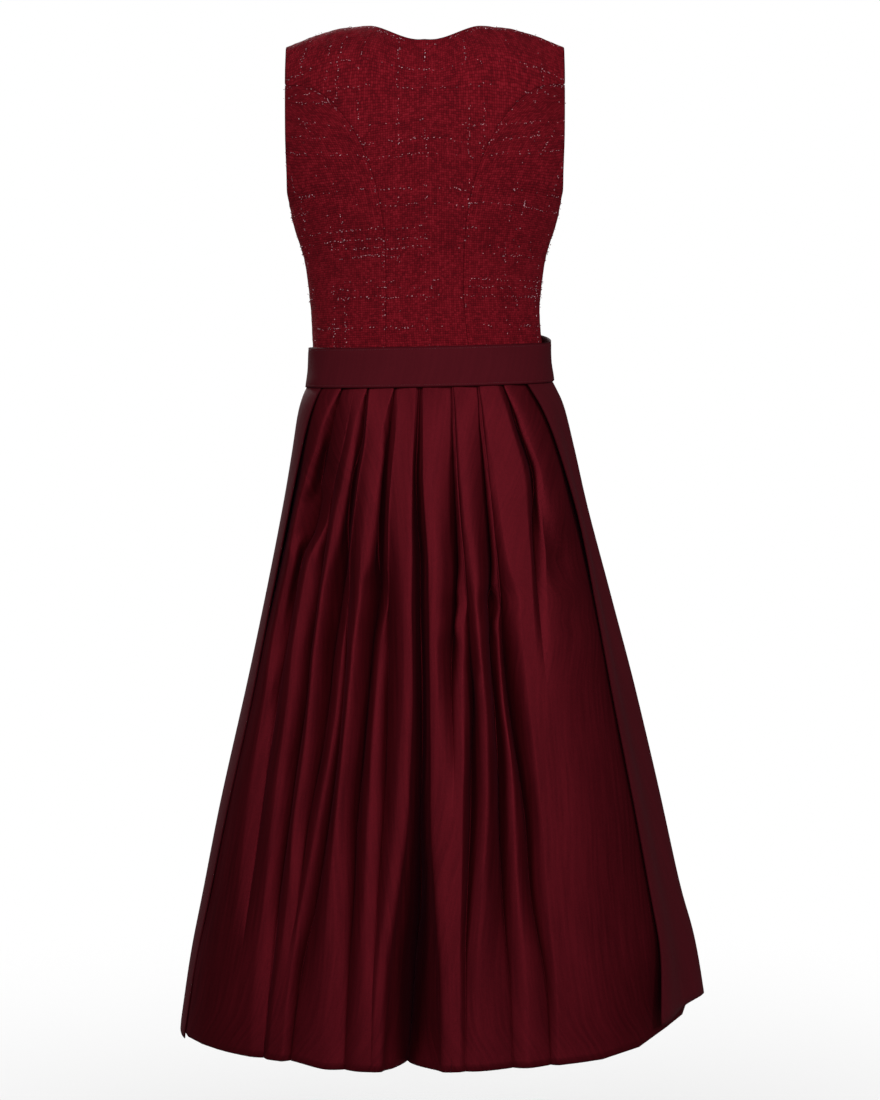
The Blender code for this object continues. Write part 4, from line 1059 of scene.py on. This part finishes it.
FRONT_PLEATS = tuple(96.0 + 11.8 * i for i in range(7))
COVERED_DEPTH = Table("drop depth", [
    (0.00, 3), (0.02, 3), (0.074, 6), (0.132, 9), (0.18, 10), (0.272, 10), (0.33, 9), (0.457, 9), (0.526, 8),
    (0.617, 7), (0.708, 6), (0.81, 6)])
SEWN_MOUTH, COVERED_MOUTH = 2, 10


def plain_folds(degrees, drop):
    """Pleats of one depth, which open alike."""
    depth = COVERED_DEPTH.at("depth", drop) * MM
    mouth = mix(SEWN_MOUTH, COVERED_MOUTH, ease(drop / 0.25)) * MM
    return [(np.full_like(drop, math.radians(degree)), depth, mouth, 0 * drop) for degree in degrees]


def front_controls(drop):
    """The pleated front from the right side seam round to the left one."""
    start = np.full_like(drop, np.pi / 2)
    half = [(start, 0 * drop)] + fold_controls(start, plain_folds(FRONT_PLEATS, drop),
                                               np.full_like(drop, np.pi), drop)
    return half + [(2 * np.pi - angle, inset) for angle, inset in reversed(half[:-1])]


skirt = satin_skirt("satin_skirt_front", "skirt_front", front_controls, SEAM_GAP / 2, 1)


# Apron panel. A darker, duller satin, gathered on its waistband and hanging in soft folds over the front of
# the skirt. Its side edges and its hem are turned twice.

APRON_CLOTH = 0.0008
APRON_LENGTH = 0.795
# The hem falls lower at the left corner and at the right edge, and stands higher beside the right edge
APRON_LOW_CORNER, APRON_HIGH_SIDE, APRON_EDGE_FALL = 0.022, 0.011, 0.015
APRON_HEM, GATHERS = 0.009, 58
APRON_ROWS, APRON_COLUMNS = 100, 300
APRON_TOP = 0.0223
APRON_HANG = Table("drop out fold gather", [
    (0.0223, -0.0001, 0.0000, 0.0004), (0.050, 0.0010, 0.0012, 0.0012), (0.090, 0.0004, 0.0034, 0.0012),
    (0.140, 0.0000, 0.0052, 0.0007), (0.280, 0.0000, 0.0075, 0.0002), (0.500, 0.0000, 0.0085, 0.0000),
    (0.800, 0.0000, 0.0085, 0.0000)])
APRON_FOLDS = [dict(zip(("share", "depth"), row)) for row in (
    (1.80, 1.30), (1.00, 0.80), (0.80, 1.00), (1.15, 0.75), (0.90, 1.10), (1.05, 0.85), (0.85, 1.00),
    (1.20, 0.90), (0.80, 0.75), (1.00, 1.10), (1.10, 0.85), (0.70, 0.90), (1.60, 0.08))]
APRON_BURGUNDY = satin_material(
    "apron_satin", dark=(0.060, 0.0050, 0.0085), light=(0.080, 0.0068, 0.0113), roughness=0.66, metallic=0.05,
    sheen=0.02)


def fold_depth(share):
    """How deep the apron's folds go at a share of the way across."""
    starts = np.cumsum([0.0] + [fold["share"] for fold in APRON_FOLDS])
    starts /= starts[-1]
    number = np.clip(np.searchsorted(starts, share, side="right") - 1, 0, len(APRON_FOLDS) - 1)
    inside = (share - starts[number]) / (starts[number + 1] - starts[number])
    depth = np.array([fold["depth"] for fold in APRON_FOLDS])[number]
    return depth * (1 - np.cos(2 * np.pi * inside)) / 2


def apron_grid(rows, columns):
    """Outer points of the apron panel, and its flat map."""
    share = np.linspace(0, 1, columns)[None, :]
    down = np.linspace(0, 1, rows)[:, None] ** 1.2
    ends = (APRON_LOW_CORNER * ease((share - 0.75) / 0.25) - APRON_HIGH_SIDE * ease((0.22 - share) / 0.22)
            + APRON_EDGE_FALL * ease(1 - share / 0.13))
    drop = mix(APRON_TOP, APRON_LENGTH + ends, down)
    level = mix(APRON_TOP, APRON_LENGTH, down)
    right = np.radians(APRON_EDGE.at("right", level))
    left = 2 * np.pi - np.radians(APRON_EDGE.at("left", level))
    angle = mix(right, left, share)
    calm = ease(share / 0.14 - 0.3) * ease((1 - share) / 0.14 - 0.3)
    turns = 2 * np.pi * GATHERS * share + 2.2 * np.sin(2 * np.pi * 7 * share)
    wave = (1 + np.sin(turns) * (0.7 + 0.3 * np.sin(41 * share))) / 2
    inset = APRON_HANG.at("fold", drop) * fold_depth(share) + APRON_HANG.at("gather", drop) * wave * calm
    return hang(bell(angle, drop, APRON_HANG.at("out", drop) - inset)), down


points, down = apron_grid(APRON_ROWS, APRON_COLUMNS)
across, along = cloth_map(points, APRON_COLUMNS // 2)
side_reach = np.minimum(across - across[:, :1], across[:, -1:] - across)
edge = np.minimum(side_reach, (1 - down) * APRON_LENGTH)
thickness = mix(1.8 * APRON_CLOTH, APRON_CLOTH, ease((edge - APRON_HEM) / 0.002))
apron = cloth_shell("apron_panel_cloth", points, thickness, APRON_BURGUNDY, (across, along), edge)
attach(apron, "root")
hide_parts("apron_panel")


# Waistband and tie of the apron. Flat folded strips of the apron's cloth, edge-stitched. The waistband holds
# the gathers, and the tie goes on from its ends, right round the back, to the knot at the right front.

TIE_CLOTH = 0.0015
TIE_RING = Table("way_down half back front", [
    (0.0, 0.1480, 0.1050, 0.1035), (0.5, 0.1488, 0.1090, 0.1080), (1.0, 0.1520, 0.1142, 0.1103)])
TIE_TOP, TIE_BOTTOM = 0.023, -0.024
TIE_SHIFT, TIE_RADIUS = 0.0055, 0.11
TIE_RISE = 0.012
TIE_RISE_START, TIE_RISE_FULL, TIE_FALL_START, TIE_FALL_END = 70.0, 135.0, 175.0, 250.0
TIE_JOIN = -100.0
KNOT_ANGLE = 164.0
WAISTBAND_TOP, WAISTBAND_BOTTOM, WAISTBAND_UNDER, WAISTBAND_CLOTH = 0.020, -0.022, 0.0020, 0.0014
BAND_STITCH, STITCH_DENT, BAND_SKIN = 0.0024, 0.00035, 0.0003
BAND_ROWS = 25


def tie_rise(degrees):
    """The tie climbs a little toward the bow at the right front."""
    degrees = degrees % 360
    climb = ease((degrees - TIE_RISE_START) / (TIE_RISE_FULL - TIE_RISE_START))
    return TIE_RISE * climb * (1 - ease((degrees - TIE_FALL_START) / (TIE_FALL_END - TIE_FALL_START)))


def tie_point(degrees, up, out, way_down):
    """Points round the waist at a height, out from the tie's own ring."""
    angle = np.radians(degrees)
    half = TIE_RING.at("half", way_down)
    depth = np.where(np.cos(angle) > 0, TIE_RING.at("back", way_down), TIE_RING.at("front", way_down))
    level = unit(stack(np.sin(angle) / half, -np.cos(angle) / depth, 0.0))
    point = stack(half * np.sin(angle), -depth * np.cos(angle), 0.0) + level * np.asarray(out)[..., None]
    x = point[..., 0] + TIE_SHIFT
    return stack(x, point[..., 1], up + TILT * x - ORIGIN_HEIGHT)


def ring_band(name, node_name, first, last, top, bottom, out, thickness, rise, columns):
    """A folded strip round the waist; its outer points dip along the edge stitching."""
    way = np.linspace(0, 1, BAND_ROWS)[:, None]
    degrees = np.linspace(first, last, columns)[None, :]
    height = mix(top, bottom, way)
    profile = (TIE_TOP - height) / (TIE_TOP - TIE_BOTTOM)
    from_edge = np.minimum(way, 1 - way) * (top - bottom)
    dent = STITCH_DENT * np.exp(-((from_edge - BAND_STITCH) / 0.0010) ** 2)
    soft = 0.0005 * np.sin(np.radians(degrees) * 5 + 1.1) * np.sin(way * 4 + np.radians(degrees) * 2)
    soft = soft * ease(from_edge / 0.01)
    out = out - dent + soft - BAND_SKIN
    points = tie_point(degrees + 0 * way, height + rise(degrees), out, profile + 0 * degrees)
    across, along = cloth_map(points, 0)
    edge = np.broadcast_to(from_edge, across.shape)
    piece = cloth_shell(name, points, thickness - BAND_SKIN, APRON_BURGUNDY, (across, along), edge)
    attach(piece, "root")
    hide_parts(node_name)
    normals = grid_normals(points)
    inward = BAND_STITCH / (top - bottom)
    lines = []
    for row in (inward, 1.0 - inward):
        place = row * (BAND_ROWS - 1)
        low, share = int(place), place - int(place)
        line = mix(points[low], points[low + 1], share) + mix(normals[low], normals[low + 1], share) * 0.0001
        lines.append(line[1:-1])
    return piece, lines


slit = math.degrees(SEAM_GAP / 2 / TIE_RADIUS)
band, band_lines = ring_band(
    "apron_band", "apron_waistband", float(APRON_EDGE.at("right", 0.0)),
    float(360 - APRON_EDGE.at("left", 0.0)), WAISTBAND_TOP, WAISTBAND_BOTTOM, -WAISTBAND_UNDER,
    WAISTBAND_CLOTH, lambda degrees: 0.0 * degrees, 180)
tie_back, back_lines = ring_band(
    "tie_round_back", "apron_tie_back", TIE_JOIN + slit, KNOT_ANGLE - slit, TIE_TOP, TIE_BOTTOM, 0.0,
    TIE_CLOTH, tie_rise, 260)
tie_front, front_lines = ring_band(
    "tie_round_front", "apron_tie_front", KNOT_ANGLE + slit, 360 + TIE_JOIN - slit, TIE_TOP, TIE_BOTTOM, 0.0,
    TIE_CLOTH, tie_rise, 120)


def stitch_material():
    material, tree, shader = new_material("sewing_thread")
    place = node(tree, "ShaderNodeTexCoord").outputs["Object"]
    noise = node(tree, "ShaderNodeTexNoise", {"Vector": place, "Scale": 900.0, "Detail": 1.0})
    colour = ramp(tree, noise.outputs["Fac"],
                  [(0.3, (0.050, 0.0050, 0.0085)), (0.7, (0.110, 0.0110, 0.0180))])
    tree.links.new(colour, shader.inputs["Base Color"])
    set_shader(shader, Roughness=0.5)
    return material


SEWING_THREAD = stitch_material()
STITCH = {"Spacing": 0.0030, "Length": 0.0022, "Width": 0.00042, "Kept": 1.0, "Patchiness": 0.0,
          "Wander": 0.00004, "Tilt": 0.03, "Seed": 3}
thread_piece("tie_stitches", band_lines + back_lines + front_lines, STITCH, SEWING_THREAD)


# Bow of the apron at the right front. The tie's ends are knotted into two loops and two hanging tails, the
# tails cut on the slant.

KNOT_SIZE = (0.044, 0.022, 0.036)
KNOT_SQUARENESS = 0.62
KNOT_HEIGHT = 0.010
KNOT_TURN = 0.125
KNOT_SEAT = 0.0008
TIE_WIDTH, BOW_CLOTH = 0.046, 0.0012
LOOP_LENGTH, LOOP_PINCH, LOOP_DROOP = 0.092, 0.024, 0.014
LOOP_TUCK = {"left": 0.0006, "right": 0.0011}
LOOP_PATH = [dict(zip(("along", "out"), row)) for row in (
    (0.035, 0.005), (0.055, 0.004), (0.076, 0.004), (0.088, 0.006), (LOOP_LENGTH, 0.012),
    (0.088, 0.018), (0.076, 0.021), (0.055, 0.020), (0.035, 0.016))]
LOOP_ROOT = (0.006, 0.012)
TAIL_PINCH = 0.015
TAIL_LENGTH = {"left": 0.350, "right": 0.315}
TAIL_SLANT = 0.030
TAIL_TURN = {"left": (3.6, 10.0), "right": (-3.6, -9.0)}
TAIL_OUT = 0.007
TAIL_LIFT = {"left": 0.002, "right": 0.010}
TAIL_WAVE, TAIL_GATHERS = 0.003, 0.0010
KNOT_CREASES, LOOP_CREASES, LOOP_CRUMPLE = 0.0011, 0.0012, 0.0007


def knot_point(along, up, out, way_down=1.0):
    """Points beside the knot: along the waist toward the left, up, and out from the tie's own ring."""
    along, up, out, way_down = np.broadcast_arrays(along, up, out, way_down)
    return tie_point(KNOT_ANGLE + np.degrees(along / KNOT_TURN), KNOT_HEIGHT + up, out, way_down)


def bow_piece(name, node_name, points, thickness, inward=False):
    """One strip of the bow as a shell of the tie's cloth."""
    normals = grid_normals(points) * (-1 if inward else 1)
    across, along = cloth_map(points, points.shape[1] // 2)
    from_edge = np.minimum(np.linspace(0, 1, points.shape[0]), np.linspace(1, 0, points.shape[0])) * TIE_WIDTH
    edge = np.broadcast_to(from_edge[:, None], across.shape)
    piece = cloth_shell(name, points, thickness, APRON_BURGUNDY, (along, across), edge, normals)
    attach(piece, "root")
    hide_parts(node_name)
    return piece


def bow_knot():
    """The wrap at the middle: a soft closed form with creases that run round it."""
    rows, columns = 60, 90
    polar = np.linspace(0.02, np.pi - 0.02, rows)[:, None]
    round_it = np.linspace(0, 2 * np.pi, columns)[None, :]
    ball = stack(np.cos(polar), np.sin(polar) * np.cos(round_it), np.sin(polar) * np.sin(round_it))
    shaped = np.sign(ball) * abs(ball) ** KNOT_SQUARENESS * np.array(KNOT_SIZE) / 2
    creases = KNOT_CREASES * np.sin(polar * 9 + 0.8 * np.sin(round_it * 2)) * np.sin(polar) ** 2
    shaped = shaped * (1 - 0.06 * (1 + np.cos(polar * 7))[..., None] / 2) * (0.97, 1, 1)
    out = shaped[..., 1] + KNOT_SIZE[1] / 2 + KNOT_SEAT
    return knot_point(shaped[..., 0], shaped[..., 2], out - abs(creases), 0.5)


def closed_piece(name, points, flat_map, material):
    """A grid that meets itself all round, closed by a point at both ends."""
    rows, columns = points.shape[0], points.shape[1] - 1
    verts = points[:, :-1].reshape(-1, 3).tolist() + [points[0].mean(0).tolist(), points[-1].mean(0).tolist()]
    index = np.arange(rows * columns).reshape(rows, columns)
    beside = np.roll(index, -1, axis=1)
    faces = np.stack([index[:-1], beside[:-1], beside[1:], index[1:]], axis=-1).reshape(-1, 4).tolist()
    faces += [(int(b), int(a), rows * columns) for a, b in zip(index[0], beside[0])]
    faces += [(int(a), int(b), rows * columns + 1) for a, b in zip(index[-1], beside[-1])]
    flat = np.stack([np.append(part[:, :-1].ravel(), [0, 0]) for part in flat_map], axis=-1)
    piece = cloth_piece(name, verts, faces, flat, np.full(len(verts), FAR_FROM_EDGE), material)
    volume = sum(Vector(verts[f[0]]).dot(Vector(verts[f[1]]).cross(Vector(verts[f[2]]))) for f in faces)
    if volume < 0:
        piece.data.flip_normals()
    return piece


points = bow_knot()
knot = closed_piece("bow_knot", points, cloth_map(points, 0), APRON_BURGUNDY)
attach(knot, "root")
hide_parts("apron_knot")

for word, hand in (("left", 1), ("right", -1)):
    start = KNOT_SIZE[0] / 2 + SEAM_GAP - LOOP_TUCK[word]
    path = np.array([(start, LOOP_ROOT[0])] + [(spot["along"], spot["out"]) for spot in LOOP_PATH]
                    + [(start, LOOP_ROOT[1])])
    reach, level = rounded([(np.array([a]), np.array([b])) for a, b in path], 7)
    reach, level = reach[0][None, :], level[0][None, :]
    across = np.linspace(-0.5, 0.5, 29)[:, None]
    share = (reach - start) / (0.6 * LOOP_LENGTH)
    spread = mix(LOOP_PINCH, TIE_WIDTH, ease(share))
    up = spread * across - LOOP_DROOP * (reach / LOOP_LENGTH) ** 2
    pinch = LOOP_CREASES * np.sin(across * 22 + 0.6) * (1 - ease(share * 1.1))
    crumple = LOOP_CRUMPLE * np.sin(across * 9 + reach * 90) * ease(share)
    points = knot_point(hand * reach + 0 * across, up, level + 0.3 * (pinch + crumple))
    bow_piece(f"bow_loop_{word}", f"apron_bow_loop_{word}", points, BOW_CLOTH,
              hand > 0)

for word, hand in (("left", 1), ("right", -1)):
    top = KNOT_SIZE[2] / 2 - KNOT_HEIGHT + SEAM_GAP
    start, end = (KNOT_ANGLE + turn for turn in TAIL_TURN[word])
    share = np.linspace(0, 1, 110)[:, None]
    across = np.linspace(-0.5, 0.5, 25)[None, :]
    drop = top + share * (TAIL_LENGTH[word] + hand * TAIL_SLANT * across)
    width = mix(TAIL_PINCH, TIE_WIDTH, ease(share / 0.25))
    wave = TAIL_WAVE * np.sin(share * 9 + across * 2.2 + start)
    gathers = TAIL_GATHERS * np.sin(across * 16) * (1 - ease(share / 0.3)) * ease(share / 0.03)
    out = TAIL_OUT + (TAIL_LIFT[word] + wave) * ease(share / 0.2) + TIE_CLOTH + gathers
    angle = np.radians(mix(start, end, share)) + width * across / BELL.at("half", drop)
    points = bell(angle, np.maximum(drop, 0.0003 - TIE_BOTTOM), out)
    points[..., 2] = -drop
    points = hang(points).transpose(1, 0, 2)
    bow_piece(f"bow_tail_{word}", f"apron_tail_{word}", points, BOW_CLOTH)


# The studio: a pale floor that fades into a white surround, a large soft light before the dress's back, one
# on each side and one before its front, and the camera at the photograph's angle.

FLOOR_HEIGHT, FLOOR_HALF = -1.44, 6.0
SENSOR_HEIGHT = 36.0


def studio_floor():
    mesh = bpy.data.meshes.new("floor")
    signs = ((-1, -1), (1, -1), (1, 1), (-1, 1))
    corners = [(x * FLOOR_HALF, y * FLOOR_HALF, FLOOR_HEIGHT) for x, y in signs]
    mesh.from_pydata(corners, [], [(0, 1, 2, 3)])
    material, tree, shader = new_material("pale_floor")
    place = node(tree, "ShaderNodeTexCoord").outputs["Object"]
    flat = node(tree, "ShaderNodeVectorMath", {0: place, 1: (1.0, 1.0, 0.0)}, operation="MULTIPLY")
    reach = node(tree, "ShaderNodeVectorMath", {0: flat.outputs[0]}, operation="LENGTH")
    fade = node(tree, "ShaderNodeMapRange",
                {"Value": reach.outputs["Value"], "From Min": 0.2, "From Max": 1.7, "To Min": 0.30,
                 "To Max": 0.0}, interpolation_type="SMOOTHSTEP")
    tree.links.new(fade.outputs[0], shader.inputs["Alpha"])
    set_shader(shader, Base_Color=(0.9, 0.9, 0.9, 1.0), Roughness=0.8)
    mesh.materials.append(material)
    new_object("floor", mesh)


def white_surround():
    """White where the camera sees it, and a dim even light on the cloth."""
    world = bpy.data.worlds.new("surround")
    world.use_nodes = True
    tree = world.node_tree
    seen = node(tree, "ShaderNodeLightPath").outputs["Is Camera Ray"]
    strength = node(tree, "ShaderNodeMix", {"Factor": seen, "A": 0.07, "B": 1.0}, data_type="FLOAT")
    background = tree.nodes["Background"]
    background.inputs["Color"].default_value = (1.0, 1.0, 1.0, 1.0)
    tree.links.new(strength.outputs["Result"], background.inputs["Strength"])
    bpy.context.scene.world = world


def softbox(name, place, aim, size, power):
    light = bpy.data.lights.new(name, "AREA")
    light.shape = "RECTANGLE"
    light.size, light.size_y = size
    light.energy = power
    lamp = new_object(name, light)
    lamp.location = place
    lamp.rotation_euler = (Vector(aim) - Vector(place)).to_track_quat("-Z", "Y").to_euler()


def photo_camera():
    """The camera stands a few metres behind the dress and looks down on it a little."""
    camera = bpy.data.cameras.new("camera")
    camera.sensor_fit = "VERTICAL"
    camera.sensor_height = SENSOR_HEIGHT
    camera.lens = PHOTO_FOCAL / PHOTO_HEIGHT * SENSOR_HEIGHT
    holder = new_object("camera", camera)
    holder.location = CAMERA_PLACE
    holder.rotation_euler = (math.pi / 2 - CAMERA_FALL, 0, 0)
    bpy.context.scene.camera = holder


studio_floor()
white_surround()
softbox("key", (0.4, -3.5, 0.7), (0.0, 0.0, -0.6), (3.4, 1.4), 67)
softbox("side_right", (2.6, -1.9, 1.0), (0.0, 0.0, -0.5), (1.2, 1.6), 38)
softbox("side_left", (-2.6, -1.9, 1.0), (0.0, 0.0, -0.5), (1.2, 1.6), 40)
softbox("front", (-1.2, 3.4, 1.2), (0.0, 0.0, -0.6), (1.6, 1.4), 85)
photo_camera()
bpy.context.scene.view_settings.view_transform = "Standard"
